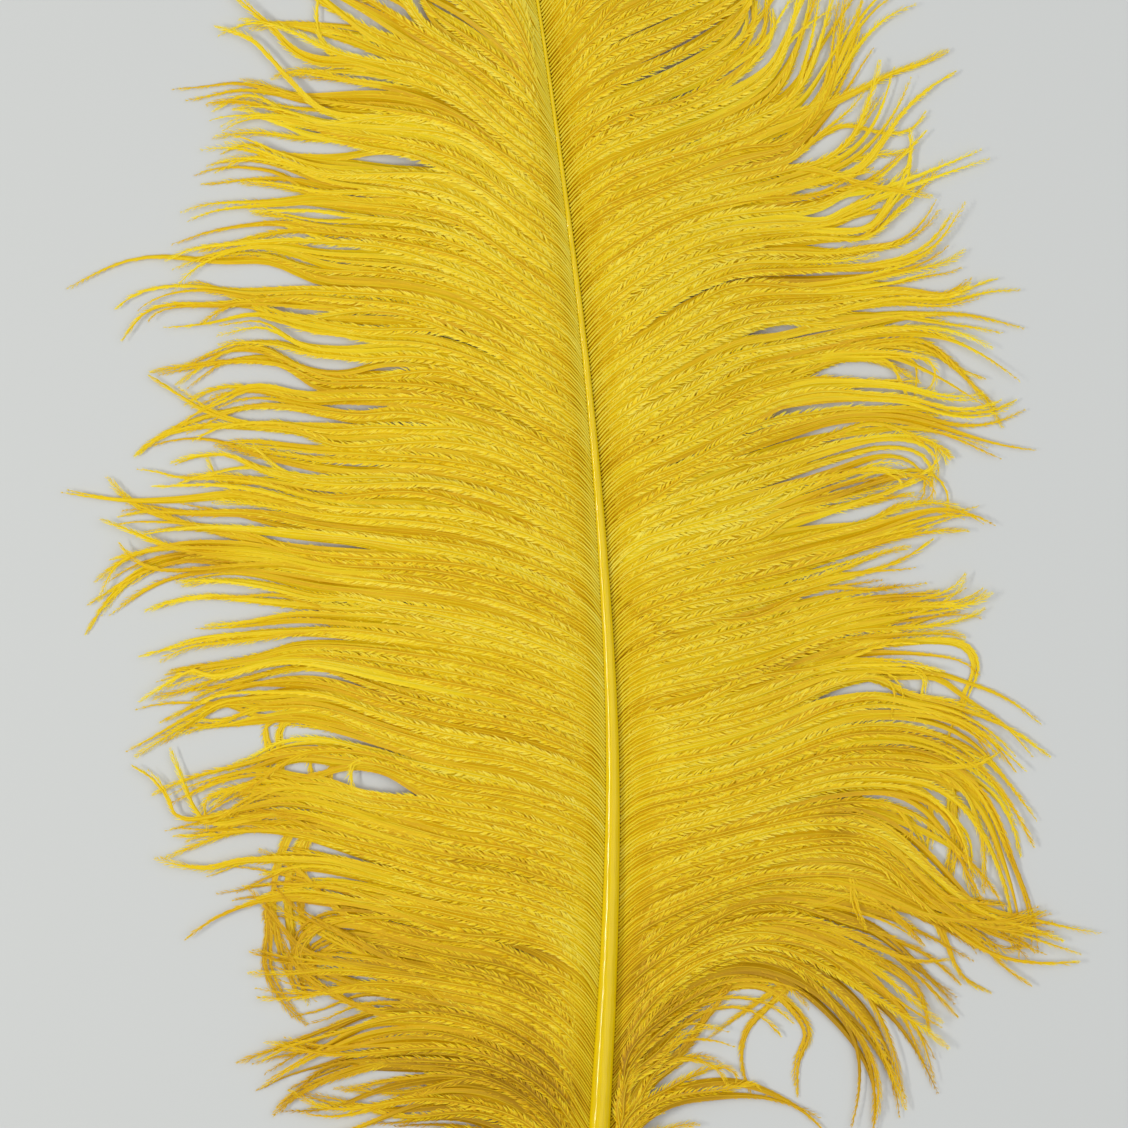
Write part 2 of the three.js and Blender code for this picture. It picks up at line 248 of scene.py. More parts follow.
shaft = {
    "stations": [
        (-206, 5.2, 2.2, 1.0), (-203, 5.35, 3.6, 1.66), (-197, 5.6, 4.8, 2.2), (-186, 6.2, 5.5, 2.53),
        (-172, 7.1, 5.6, 2.57), (-141, 8.75, 5.4, 3.3), (-94, 11.25, 4.4, 4.6), (-47, 12.0, 3.4, 5.6),
        (0, 9.75, 2.5, 6.0), (47, 5.75, 1.75, 5.8), (94, 0, 1.25, 5.0), (141, -6.75, 0.95, 3.9),
        (180, -13.4, 0.8, 2.6), (203, -17.6, 0.7, 1.5),
    ],
    "sides": 20, "step": 6.0, "heightShare": 0.9,
    # groove along the underside: it sets in over so many mm, and its depth and half width are
    # shares of the radius
    "grooveFrom": -165.0, "grooveOver": 30.0, "grooveDepth": 0.3, "grooveHalf": 0.55,
}


def hermite(t, span, start, end, startSlope, endSlope):
    return ((2 * t**3 - 3 * t**2 + 1) * start + (t**3 - 2 * t**2 + t) * span * startSlope
            + (3 * t**2 - 2 * t**3) * end + (t**3 - t**2) * span * endSlope)


def shaftLine(column):
    table = np.array(shaft["stations"], float)
    at, value = table[:, 0], table[:, column]
    slope = np.gradient(value, at)

    def read(along):
        along = np.clip(along, at[0], at[-1])
        i = np.clip(np.searchsorted(at, along) - 1, 0, len(at) - 2)
        span = at[i + 1] - at[i]
        return hermite((along - at[i]) / span, span, value[i], value[i + 1], slope[i], slope[i + 1])
    return read


shaftX, shaftWidth, shaftZ = (shaftLine(column) for column in (1, 2, 3))


def makeShaft():
    ends = [station[0] for station in shaft["stations"][:4]]        # the blunt end keeps its own stations
    tipEnd = shaft["stations"][-1][0]
    count = round((tipEnd - ends[-1]) / shaft["step"])
    alongs = np.array(ends + list(np.linspace(ends[-1], tipEnd, count + 1)[1:]))
    places = np.stack([shaftX(alongs) - planCentre[0], alongs - planCentre[1], shaftZ(alongs)], axis=1) * mm
    radii = shaftWidth(alongs) / 2 * mm
    bpy.ops.mesh.primitive_circle_add(vertices=shaft["sides"], radius=radii[0], fill_type="NGON",
                                      location=places[0], rotation=(pi / 2, 0, 0))
    piece = bpy.context.object
    piece.name = "shaft"
    bpy.ops.object.transform_apply(location=True, rotation=True, scale=True)
    bpy.ops.object.mode_set(mode="EDIT")
    bpy.ops.mesh.select_all(action="SELECT")
    bpy.ops.transform.resize(value=(1, 1, shaft["heightShare"]), center_override=places[0])
    for i in range(1, len(alongs)):
        step = places[i] - places[i - 1]
        bpy.ops.mesh.extrude_region_move(TRANSFORM_OT_translate={"value": step})
        grow = radii[i] / radii[i - 1]
        bpy.ops.transform.resize(value=(grow, 1, grow), center_override=places[i])
    bpy.ops.mesh.select_all(action="SELECT")
    bpy.ops.mesh.normals_make_consistent(inside=False)
    body = bmesh.from_edit_mesh(piece.data)
    for vertex in body.verts:
        along = vertex.co.y / mm + planCentre[1]
        radius = shaftWidth(along) / 2
        aside = abs(vertex.co.x / mm + planCentre[0] - shaftX(along)) / radius
        if vertex.co.z / mm < shaftZ(along):
            deep = shaft["grooveDepth"] * eased((along - shaft["grooveFrom"]) / shaft["grooveOver"])
            deep *= eased(1 - aside / shaft["grooveHalf"])
            vertex.co.z += deep * radius * mm
        vertex.co.z = max(vertex.co.z, 0.0)
    bmesh.update_edit_mesh(piece.data)
    bpy.ops.object.mode_set(mode="OBJECT")
    bpy.ops.object.shade_smooth_by_angle(angle=radians(50))
    piece.data.materials.append(shaftMaterial)
    return piece


shaftPiece = makeShaft()
print("shaft made:", len(shaftPiece.data.polygons), "faces")


# the barbs. Each lock is a bunch of barbs: where it grows from the shaft, then the points that
# its middle passes in plan mm, out to its tip. Strays leave the vane on their own.

leftLocks = [
    (200, [(-21, 212), (-25, 225), (-31, 237)]),
    (193, [(-22, 206), (-30, 220), (-40, 233)]),
    (186, [(-22, 206), (-33, 224), (-47, 234)]),
    (178, [(-24, 198), (-40, 216), (-58, 225), (-70, 226)]),
    (169, [(-24, 189), (-42, 206), (-62, 214), (-78, 213)]),
    (160, [(-22, 179), (-40, 196), (-62, 204), (-84, 201)]),
    (151, [(-20, 169), (-38, 186), (-60, 194), (-88, 188)]),
    (142, [(-18, 160), (-35, 176), (-58, 184), (-90, 176)]),
    (133, [(-16, 151), (-32, 166), (-54, 174), (-86, 166)]),
    (124, [(-14, 142), (-29, 157), (-48, 165), (-76, 161)]),
    (115, [(-12, 133), (-25, 148), (-42, 156), (-70, 154), (-86, 147)]),
    (108, [(-13, 121.5), (-24, 129), (-33, 136), (-38, 146), (-48, 156), (-62, 160)]),
    (102.5, [(-14, 115.5), (-26, 125.5), (-36, 131.5), (-50, 140), (-66, 146), (-80, 148)]),
    (97.5, [(-14, 110.5), (-28.5, 121.5), (-44.6, 129.5), (-70, 136), (-80, 137), (-88, 134)]),
    (92.5, [(-13.5, 105.3), (-28, 116.5), (-43.8, 122.5), (-68, 127), (-78, 129), (-87, 133)]),
    (87.5, [(-12.8, 99.6), (-27.4, 110.2), (-43, 114.4), (-68, 116), (-82, 121.5), (-92, 122),
        (-101, 123)]),
    (82.8, [(-12.2, 94.6), (-26.6, 104.9), (-42, 108.6), (-60, 110), (-70, 113), (-78, 118), (-92, 115)]),
    (78.7, [(-11.6, 90.6), (-26, 101.2), (-41.6, 105.4), (-60, 107), (-74, 111), (-86, 109.5),
        (-100.5, 101)]),
    (75.1, [(-11.1, 86.8), (-25.5, 97.1), (-41.1, 101.4), (-62, 103), (-78, 106), (-88, 101), (-96, 94.5)]),
    (68.2, [(-10.3, 79.7), (-24.5, 89.9), (-40, 94.3), (-60, 96), (-75, 99), (-88, 98), (-96, 94)]),
    (62.7, [(-9.6, 74), (-23.8, 83.9), (-39.3, 88.6), (-60, 90.5), (-76, 91), (-88, 90.5), (-96, 88)]),
    (57.2, [(-8.9, 68.4), (-23, 78), (-38.6, 82.9), (-60, 85), (-75, 87), (-88, 86.5), (-100, 82.5)]),
    (51.4, [(-8.1, 62.5), (-22.3, 71.7), (-37.9, 76.8), (-60, 79), (-76, 82), (-90, 78), (-101, 71)]),
    (47, [(-7.6, 57.8), (-21.7, 66.7), (-37.3, 71.9), (-60, 74), (-76, 77.5), (-90, 73.5), (-98, 69.5)]),
    (40.8, [(-6.8, 51.4), (-20.8, 60), (-36.5, 65.2), (-60, 67), (-78, 68), (-96, 69), (-109, 68),
        (-121, 57)]),
    (35, [(-6.1, 45.3), (-20.1, 53.6), (-35.7, 58.7), (-60, 60), (-76, 64.5), (-90, 64.5), (-100, 66)]),
    (30.4, [(-5.7, 40.4), (-19.4, 48.4), (-35, 53.2), (-60, 54), (-72, 60), (-84, 59), (-98, 55)]),
    (25.9, [(-5.3, 35.6), (-18.9, 43.1), (-34.3, 47.6), (-60, 48), (-75, 53), (-88, 51), (-98, 45)]),
    (21.2, [(-4.9, 30.6), (-18.5, 37.7), (-33.8, 41.9), (-60, 42), (-75, 46), (-90, 44), (-104, 40.5)]),
    (16.1, [(-4.4, 25.4), (-18, 31.9), (-33.3, 35.9), (-60, 36), (-76, 39), (-88, 36.5), (-98, 30.5),
        (-108, 23.5)]),
    (9.6, [(-3.8, 18.7), (-17.4, 24.8), (-32.7, 28.6), (-60, 29), (-76, 32.5), (-90, 30), (-100, 26),
        (-107, 20.5)]),
    (2.6, [(-3.2, 11.6), (-16.7, 17.3), (-32, 21), (-60, 22), (-76, 25), (-90, 26), (-103, 20)]),
    (-4.9, [(-2.6, 4.2), (-16.1, 9.7), (-31.4, 13.3), (-60, 15), (-78, 19), (-92, 20), (-104, 19.5),
        (-114, 21.5), (-126, 26)]),
    (-11.5, [(-2.1, -2.4), (-15.5, 3), (-30.8, 6.6), (-60, 9), (-78, 13), (-95, 14.5), (-105, 16.5),
        (-112, 15.5)]),
    (-18, [(-1.8, -8.9), (-15.1, -3.5), (-30.3, 0.2), (-60, 3), (-78, 7), (-95, 9), (-108, 8), (-117, 5),
        (-121, -1), (-124.5, -8.5)]),
    (-23.3, [(-1.6, -14.2), (-14.8, -8.8), (-30, -5.1), (-60, -2), (-78, 0.5), (-95, 0), (-106, -2.5),
        (-113, -7), (-119.5, -11.5)]),
    (-28.3, [(-1.3, -19.3), (-14.6, -13.9), (-29.8, -10.3), (-60, -7), (-78, -4), (-92, -4.5), (-104, -8),
        (-112, -12.5)]),
    (-35.5, [(-1, -26.7), (-14.2, -21.5), (-29.4, -17.9), (-62, -14.5), (-78, -14.5), (-92, -16),
        (-101, -18.3), (-108, -19.5)]),
    (-41, [(-0.7, -32.6), (-13.9, -27.5), (-29.1, -24.1), (-62, -20.5), (-76, -21.5), (-88, -24),
        (-97, -26), (-106, -28)]),
    (-51.1, [(-0.2, -43), (-13.4, -38.1), (-28.6, -35), (-46, -31), (-62, -26), (-76, -27), (-88, -30),
        (-99, -36)]),
    (-57.9, [(0, -50.1), (-13.1, -45.5), (-28.2, -42.7), (-46, -38), (-60, -33.5), (-74, -34), (-84, -35),
        (-92, -39), (-101, -44.5), (-112, -50.5)]),
    (-63.6, [(-0.1, -55.8), (-13.1, -51.4), (-28, -49.1), (-46, -43.5), (-60, -38.8), (-74, -39.5),
        (-88, -40.5), (-99, -41.5), (-108, -47)]),
    (-68.3, [(-0.2, -60.3), (-13.1, -56), (-28.1, -53.9), (-56, -47.5), (-70, -47), (-80, -50.5),
        (-90, -57), (-99, -64.5)]),
    (-91.7, [(-0.6, -83.4), (-13.5, -78.9), (-28.5, -76.9), (-52, -70), (-66, -66), (-80, -64.5),
        (-90, -66.5), (-101, -69.5)]),
    (-97.8, [(-0.7, -88.9), (-13.6, -84.1), (-28.6, -82), (-56, -75), (-70, -71.5), (-80, -73.5),
        (-90, -77.5), (-102, -78)]),
    (-104.8, [(-0.8, -95.2), (-13.7, -89.7), (-28.6, -87.4), (-56, -81), (-70, -80), (-82, -80),
        (-88, -80)]),
    (-116.7, [(-1.4, -106.2), (-14.1, -99.9), (-28.9, -97.2), (-56, -92), (-66, -97), (-68, -105),
        (-63, -114)]),
    (-126.3, [(-1.9, -114.9), (-14.5, -107.7), (-29.3, -104.6), (-54, -101), (-68, -100), (-79, -96.5)]),
    (-133.5, [(-2.2, -121.3), (-14.8, -113.4), (-29.6, -110), (-48, -108), (-58, -114), (-68, -116)]),
    (-138.5, [(-2.4, -125.5), (-15, -117), (-29.8, -113.5), (-48, -113), (-62, -119), (-74, -123),
        (-85, -126)]),
    (-145.5, [(-2.9, -132.2), (-15.4, -123.4), (-30.2, -119.8), (-60, -122), (-72, -121.5), (-82, -124)]),
    (-151.5, [(-3.1, -138), (-15.6, -128.6), (-30.4, -125.4), (-58, -127), (-68, -134)]),
    (-156.7, [(-4, -139), (-14, -131), (-28, -129), (-44, -133), (-60, -135.5), (-75, -129.5)]),
    (-162, [(-4, -148), (-14, -140), (-28, -136), (-45, -138), (-58, -138.5), (-67, -139.5)]),
    (-167.2, [(-2, -155), (-12, -148), (-26, -146), (-42, -149), (-56, -154)]),
    (-171.5, [(0, -161), (-8, -156), (-20, -156), (-32, -160), (-42, -168)]),
]
rightLocks = [
    (200, [(-16, 211), (-13, 225), (-11, 237)]),
    (194, [(-15, 206), (-11, 220), (-4, 235)]),
    (188, [(-13, 203), (-7, 217), (2, 236)]),
    (183, [(-8, 202), (0, 218), (8, 230), (20, 238)]),
    (175, [(-6, 193), (5, 209), (18, 222), (34, 231)]),
    (166, [(-3, 184), (10, 200), (26, 213), (46, 222)]),
    (156.9, [(0, 174), (15, 189), (34, 202), (56, 211)]),
    (147.9, [(3, 164), (20, 177), (40, 190), (64, 201)]),
    (138.8, [(6, 154), (24, 166), (44, 178), (60, 190), (70, 200)]),
    (129.8, [(8, 144), (27, 155), (46, 167), (62, 180), (74, 193)]),
    (120.7, [(10, 134), (28, 144), (46, 155), (61, 168), (72, 184)]),
    (113, [(10, 124), (28, 133), (46, 144), (60, 157), (70, 174)]),
    (106.5, [(10.5, 116), (24, 121), (40, 131), (47, 141), (51, 152), (56, 164)]),
    (100.3, [(10.6, 109), (23, 114.2), (36.8, 120.4), (49, 130), (51, 141), (54, 152)]),
    (94, [(10.8, 102.2), (23.1, 107.1), (37.3, 113), (52, 122), (58, 134), (61, 142), (65, 153)]),
    (87.6, [(11.9, 94.7), (24.1, 100.1), (38.3, 105.8), (56, 114), (63, 128), (67, 141), (69, 150)]),
    (81.8, [(12.5, 89.6), (24.8, 95.4), (39, 100.9), (60, 108), (68, 120), (74, 132), (80, 141),
        (86, 147)]),
    (74.8, [(13.4, 82.8), (25.6, 88.9), (40, 94.1), (60, 100), (71, 108), (78, 118), (83, 128)]),
    (69.6, [(14, 77.9), (26.2, 84.5), (40.6, 89.4), (62, 94), (76, 98), (90, 99), (96, 105.5)]),
    (64.3, [(14.6, 72.8), (26.7, 79.8), (41.1, 84.7), (64, 88), (77, 92), (86, 97), (93, 101), (105, 107)]),
    (58.5, [(15.3, 67.3), (27.4, 74.7), (41.7, 79.8), (64, 82), (76, 82), (86, 88), (92, 95), (98, 103)]),
    (53.4, [(15.9, 62.2), (27.9, 70), (42.3, 75.6), (64, 77), (80, 78), (90, 82), (99, 92)]),
    (48.8, [(16.4, 57.7), (28.5, 65.7), (42.7, 71.8), (64, 73), (80, 74), (91, 78), (102, 92)]),
    (45, [(16.9, 53.8), (28.9, 61.7), (43.1, 68.5), (66, 70), (84, 72), (96, 76), (103, 86)]),
    (39.2, [(17.7, 47.7), (29.7, 55.4), (43.8, 62.7), (66, 65), (84, 67), (97, 66.5), (106, 70.5),
        (115, 72)]),
    (33.5, [(18.2, 41.8), (30.5, 49.1), (44.6, 56.6), (66, 60), (84, 62.5), (98, 62), (111, 59.5)]),
    (27.1, [(18.8, 35.2), (31.2, 42), (45.4, 49.5), (66, 54), (84, 57), (97, 55.5), (106, 50), (116, 41)]),
    (24.2, [(19, 32.1), (31.5, 38.3), (45.9, 45.5), (68, 51), (80, 50), (92, 45.5), (105, 39)]),
    (14.8, [(19.8, 22.5), (32.3, 28.2), (46.8, 34.8), (68, 41), (84, 41), (98, 37), (108, 39), (115, 46)]),
    (10.9, [(20.2, 18.4), (32.7, 23.7), (47.2, 29.5), (68, 36), (84, 37), (100, 34), (110, 32),
        (119, 31.5)]),
    (5.3, [(20.7, 12.7), (33.3, 17.5), (47.8, 22.5), (68, 29), (82, 31), (91, 29), (93, 24), (89, 20)]),
    (-1.2, [(21.2, 6), (33.9, 10.5), (48.5, 14.8), (68, 21), (80, 25), (87, 22), (88, 16), (82, 12)]),
    (-11.9, [(22, -4.8), (34.8, -0.6), (49.5, 3.2), (70, 9), (84, 13), (94, 16), (102, 14.5), (109, 9.5)]),
    (-17.1, [(22.2, -10.1), (35, -6.1), (49.9, -2.6), (70, 3), (84, 7), (98, 9), (108, 10.5)]),
    (-23.9, [(22.6, -17.1), (35.4, -13.2), (50.2, -9.7), (70, -4), (84, 1), (92, 6)]),
    (-30.1, [(22.9, -23.5), (35.7, -19.9), (50.5, -16.2), (70, -10), (86, -8.5), (98, -8), (104, -5)]),
    (-35.6, [(23.2, -29.3), (36, -25.8), (50.8, -21.9), (70, -15), (86, -13), (98, -11.5), (105, -8),
        (110, 0)]),
    (-41, [(23.4, -34.9), (36.3, -31.6), (51.1, -27.5), (72, -20), (88, -18.5), (98, -19), (102.5, -23),
        (105, -24)]),
    (-51.1, [(23.9, -45.1), (36.8, -42), (51.6, -37.8), (72, -30), (86, -32.5), (98, -36), (110, -43),
        (117, -50), (121, -56)]),
    (-57.7, [(23.9, -51.8), (37, -48.9), (51.9, -44.5), (72, -37), (86, -37), (97, -40), (105, -46),
        (112, -55), (117, -62)]),
    (-63.9, [(23.8, -58.1), (36.9, -55.1), (51.9, -50.7), (72, -44), (88, -44.5), (100, -50), (108, -57),
        (114, -66), (118.5, -74)]),
    (-69.6, [(23.7, -63.6), (36.8, -60.3), (51.9, -55.9), (72, -50.5), (88, -51), (100, -54), (107, -62),
        (110, -72), (113, -82), (115, -92), (113.5, -103)]),
    (-75.3, [(23.6, -68.9), (36.7, -65.1), (51.8, -60.7), (70, -57), (84, -57), (94, -62), (99, -72),
        (101, -80), (105, -87)]),
    (-80.7, [(23.6, -73.8), (36.6, -69.2), (51.7, -64.7), (68, -63), (80, -66), (90, -76), (98, -86),
        (106, -92), (116, -96), (129.5, -104)]),
    (-94.3, [(23.4, -86.5), (36.5, -80.9), (51.5, -76.5), (76, -77), (87, -84), (98, -89.5), (108, -92.5),
        (117, -91), (126, -87)]),
    (-100.8, [(23.3, -92.2), (36.4, -85.4), (51.5, -81.1), (78, -84), (90, -90), (98, -96), (101, -103),
        (107, -107)]),
    (-107.3, [(23, -97.8), (36.3, -89.8), (51.4, -85.7), (76, -91), (86, -98), (95, -105.5),
        (102.5, -111)]),
    (-113, [(22.8, -103.3), (36.2, -94.2), (51.3, -90.3), (74, -98), (86, -106), (98.5, -115)]),
    (-118.5, [(22, -106.5), (35.5, -96.8), (50, -94), (70, -102), (81, -112), (86, -122), (88, -137)]),
    (-124, [(20.5, -111.5), (32, -101.5), (45, -97.3), (60, -102), (75, -116), (79, -130), (80, -147)]),
    (-129, [(19, -116.5), (29.5, -105.5), (41, -101), (54, -103), (69, -117), (73, -130), (72, -146)]),
    (-134, [(16, -121), (24, -112), (35, -105), (46, -102.5), (57, -105), (63, -113), (66.5, -124)]),
    (-140.5, [(15, -129), (22, -120), (30, -112), (37, -106), (43, -102.5)]),
    (-147.5, [(15, -137), (21, -128), (29, -121), (36, -123), (42, -131)]),
    (-154, [(14, -145), (20, -137), (28, -133), (40, -132), (54, -133), (66, -138), (74, -148)]),
    (-160.5, [(13, -152), (19, -146), (28, -142), (40, -144), (50, -150)]),
    (-166, [(12, -158), (18, -153), (26, -152), (36, -156), (44, -163)]),
    (-170.8, [(11, -164), (16, -161), (23, -163), (30, -169)]),
]
leftStrays = [
    [(-45, 123), (-56, 126), (-61, 131), (-62, 137), (-61, 144)],
    [(-50, 125), (-62, 126), (-68, 129), (-73, 134), (-78, 138), (-84, 144)],
    [(-60, 113), (-68, 121), (-73, 127), (-78, 131.5), (-87, 134)],
    [(-66, 34), (-80, 35.5), (-90, 39), (-96, 43), (-103, 48)],
    [(-80, 18), (-86, 22), (-88.5, 27.5)],
    [(-66, 21), (-72, 24), (-77.5, 29.5)],
    [(-90, 9), (-100, 12), (-108, 15.5), (-114, 21.5)],
    [(-92, 3), (-102, 6), (-108, 9), (-115, 12)],
    [(-102, -1), (-107, 1), (-111, 5)],
    [(-98, 1), (-108, -3), (-115, -10), (-119.5, -17.5)],
    [(-74, -40), (-72, -50), (-71, -60)],
    [(-70, -40), (-70, -50), (-69, -58), (-66, -64)],
    [(-63, -46), (-63, -54), (-60, -62)],
    [(-58, -49), (-58, -60), (-54, -68)],
    [(-52, -50), (-52, -60)],
    [(-96, -63), (-98, -59), (-102, -53), (-107, -49.5)],
    [(-89, -64), (-93, -58), (-95, -53), (-98, -46)],
    [(-76, -56), (-84, -56), (-90, -59), (-89, -66)],
    [(-70, -56), (-80, -60), (-86, -64), (-92, -65)],
    [(-74, -84), (-74, -92), (-74.5, -100), (-70, -109), (-64, -115)],
    [(-64, -97), (-69, -93), (-74, -87), (-79, -81.5)],
    [(-78, 44), (-85, 41), (-92, 37.5), (-97, 34)],
    [(-80, 66), (-85, 64.5), (-91, 60)],
    [(-90, -18.5), (-100, -21), (-106, -23)],
    [(-88, -7.5), (-97, -9), (-104.5, -11.5)],
    [(-95, 4), (-105, 3), (-113, 1)],
    [(-80, -74), (-88, -76), (-95, -75.5), (-102, -73.5)],
    [(-60, 122), (-68, 122.5), (-73, 121)],
    [(-60, -129), (-68, -134), (-72, -138)],
    [(-88, -28), (-92, -26), (-100, -30), (-106, -34)],
    [(-70, -83), (-80, -85), (-88, -89), (-94, -94)],
    [(-62, -66), (-68, -74), (-69, -86), (-67, -98), (-64, -110)],
    [(-60, -64), (-65, -72), (-66, -84), (-64, -96), (-61, -106)],
    [(-66, -64), (-71, -72), (-73, -84), (-71, -98), (-67, -109)],
    [(-36, -104), (-50, -98), (-64, -90), (-74, -84)],
    [(-38, -100), (-52, -94), (-66, -86), (-72, -80)],
    [(-40, -108), (-55, -104), (-70, -99), (-78, -96.5)],
    [(-44, -92), (-56, -86), (-66, -76), (-76, -71)],
    [(-46, -112), (-58, -107), (-67, -100), (-72, -92)],
    [(-4, -132), (-13, -125), (-22.5, -118), (-30, -110), (-36, -103.5), (-42, -98)],
    [(-8, -121), (-17, -115), (-25, -110), (-30, -104), (-34, -99)],
]
rightStrays = [
    [(55, 111), (65, 115), (74, 119), (82, 122.5), (90, 125), (96, 128)],
    [(73, 98), (79, 105), (84, 112), (90, 117.5), (98, 122.5)],
    [(76, 84), (82, 91), (85, 96), (86.5, 103), (86, 108.5)],
    [(55, 98.5), (66, 97.5), (75, 95), (84, 94), (92, 92.5)],
    [(73, 130), (74, 136), (75, 142)],
    [(88, 55), (94, 52), (98, 48.5), (105, 46)],
    [(90, 54), (97, 50), (102, 45), (107, 40), (110, 34.5)],
    [(87, 51), (88, 46), (87, 41)],
    [(91.5, 50), (92, 46), (89, 42)],
    [(81, 51), (84, 46), (86, 41)],
    [(90, 22), (93.5, 25), (93, 30)],
    [(88, 22.5), (92, 20), (92, 17), (89, 15.5)],
    [(100, -20), (103, -25), (101, -32), (98, -40), (96, -46)],
    [(90, -27), (90, -33), (88, -39)],
    [(80, -28), (83, -32), (82, -38)],
    [(82, -61), (85, -64), (87, -67), (83, -68)],
    [(96, -56), (97, -66), (96, -74), (95, -82)],
    [(100, -68), (101, -78), (104, -84)],
    [(95, -83), (100, -84.5), (110, -85)],
    [(90, -87), (98, -89), (108, -89.5), (118, -87)],
    [(98, -91), (105, -95.5), (110, -100), (117, -104.5)],
    [(80, -97), (88, -99), (96, -98.5)],
    [(86, -104), (90, -110), (91.5, -117)],
    [(57, -103), (53, -107), (45, -113), (37, -119)],
    [(57, -104), (53, -109), (46, -117), (45, -125), (47, -133)],
    [(61, -117), (59, -124), (58.5, -133)],
    [(30, -121), (36, -112), (41, -104)],
    [(97, -50), (104, -49), (109, -46)],
    [(108, -57), (113, -66), (114.5, -73)],
    [(64, -54), (79, -64), (85, -76.5), (91.5, -82), (110, -85)],
    [(72, -64), (77, -74), (86, -86.5), (97, -92), (108, -95.5)],
    [(96, -53), (96.5, -61.5), (98, -70), (95.5, -81.5)],
    [(90.5, -58), (91.5, -66), (90.5, -74), (88, -78)],
    [(64, -85), (74, -81.5), (82, -87), (90, -95)],
    [(70.5, -77), (72, -84), (75, -91)],
    [(88, -80.5), (95, -92), (100, -103), (106.5, -107)],
    [(64, -61.5), (74, -60.5), (84, -62), (89, -67), (90, -76.5)],
    [(-17.5, 212), (-19, 221), (-21.5, 230), (-25, 237)],
    [(-17, 211), (-17.5, 221), (-18.5, 230), (-18, 238)],
]

# gaps between barbs where the paper shows: from, to, and half the width, in plan mm
leftGaps = [
    (-74, 104, -51, 104, 1.3), (-50, 101, -35, 100, 0.9), (-88, 96.5, -70, 97, 0.8),
    (-95, 93.5, -66, 92, 1.3), (-54, 91.3, -42, 90.8, 0.5), (-67, 87.3, -55, 86.5, 0.6),
    (-89, 80, -68, 84.5, 0.8), (-79, 80.5, -65, 82.3, 0.5), (-95, 71.5, -72, 75.5, 0.7),
    (-88, 69, -66, 73, 1.3), (-94, 66.3, -83, 66.2, 0.9), (-74, 63, -61, 65, 0.9),
    (-79, 56.8, -73, 57.2, 0.9), (-69, 56, -50, 55, 1.1), (-70, 50.5, -51, 50.3, 1.0),
    (-48, 49.2, -35, 48.7, 0.7), (-88, 47.5, -67, 48.3, 1.5), (-77, 44, -64, 44.5, 0.9),
    (-69, 40.5, -42, 42, 0.6), (-58, 38.8, -46, 38.3, 0.9), (-84, 36.5, -66, 38, 1.1),
    (-68, 35.6, -54, 35.2, 1.0), (-46, 36, -32, 34, 0.6), (-76, 31.5, -62, 31.8, 0.7),
    (-57, 25, -45, 24, 0.5), (-99, 22.5, -81, 26.5, 1.5), (-97, 17, -88, 18.5, 0.6),
    (-74, 4.7, -45, 3.5, 1.1), (-79, 0.8, -75, 1, 0.8), (-73, 2, -66, 1, 0.5), (-100, -1, -89, -1, 0.9),
    (-100, -12, -74, -12, 2.4), (-74, -8.5, -66, -11, 1.2), (-60, -11, -50, -9.7, 0.9),
    (-99, -22.5, -72, -21, 1.2), (-70, -41.5, -64, -41.5, 1.8), (-99, -46, -74, -46, 2.8),
    (-88, -38, -82, -36, 1.6), (-57, -53, -40, -55, 2.2), (-70, -51, -60, -51, 1.5),
]
rightGaps = [
    (61, 100, 72, 109.5, 1.6), (50, 105, 58, 107.5, 1.0), (59, 92, 67, 96, 0.6), (65, 85, 71, 93, 0.8),
    (68, 82, 75, 87, 0.9), (65, 79, 70, 80, 0.6), (80, 80, 90, 91, 2.0), (47, 57.5, 59, 60, 0.9),
    (34, 51, 43, 56.5, 0.35), (66, 49, 83, 47, 1.7), (71, 44.2, 84, 42.5, 0.6),
    (51, 38.5, 66, 38.8, 0.8), (63, 33.5, 71, 34.5, 0.6), (74, 34, 79, 34.3, 0.5),
    (88, 71, 98, 68.5, 1.2), (55, 11.2, 79, 12, 1.2), (40, 14.3, 47, 15, 0.3),
    (60, -34.5, 68, -31, 0.4), (69, -33, 79, -28.5, 0.8), (84, -30.5, 95, -29.5, 1.2),
    (75, -36.8, 82, -36, 0.5),
]
# places painted darker, or paler below zero: middle, half sizes and how much, in plan mm
deepPlaces = [
    (3, -104, 6, 30, -0.24), (72, 20, 11, 5, 0.21), (55, 71, 14, 4, 0.12), (45, 65, 8, 3, 0.09),
    (84, 3, 9, 4, 0.12), (83, -7, 7, 4, 0.15), (54, -26, 8, 3, 0.11), (85, -45, 10, 5, 0.09),
    (52, 94, 12, 5, 0.07), (69, -64, 6, 6, 0.17), (-92, 2, 9, 4, 0.17), (-68, -14, 9, 5, 0.07),
    (-60, 16, 12, 3, 0.06), (-3, -131, 12, 12, 0.16), (-14, -127, 13, 7, 0.12),
    (-32, -137, 14, 5, 0.12), (-72, -62, 14, 6, 0.1), (98, -44, 8, 6, 0.06), (20, -120, 12, 14, 0.09),
    (-90, -25, 10, 4, 0.07),
]
# where barbs on the right part and fold under, painted darker there as painted shade: from, to, and half the
# width, in plan mm
creases = [(13, -8.8, 20, -12.8, 0.5), (20, -12.8, 24.5, -16.2, 0.9), (24.5, -16.2, 28.5, -18, 0.6)]

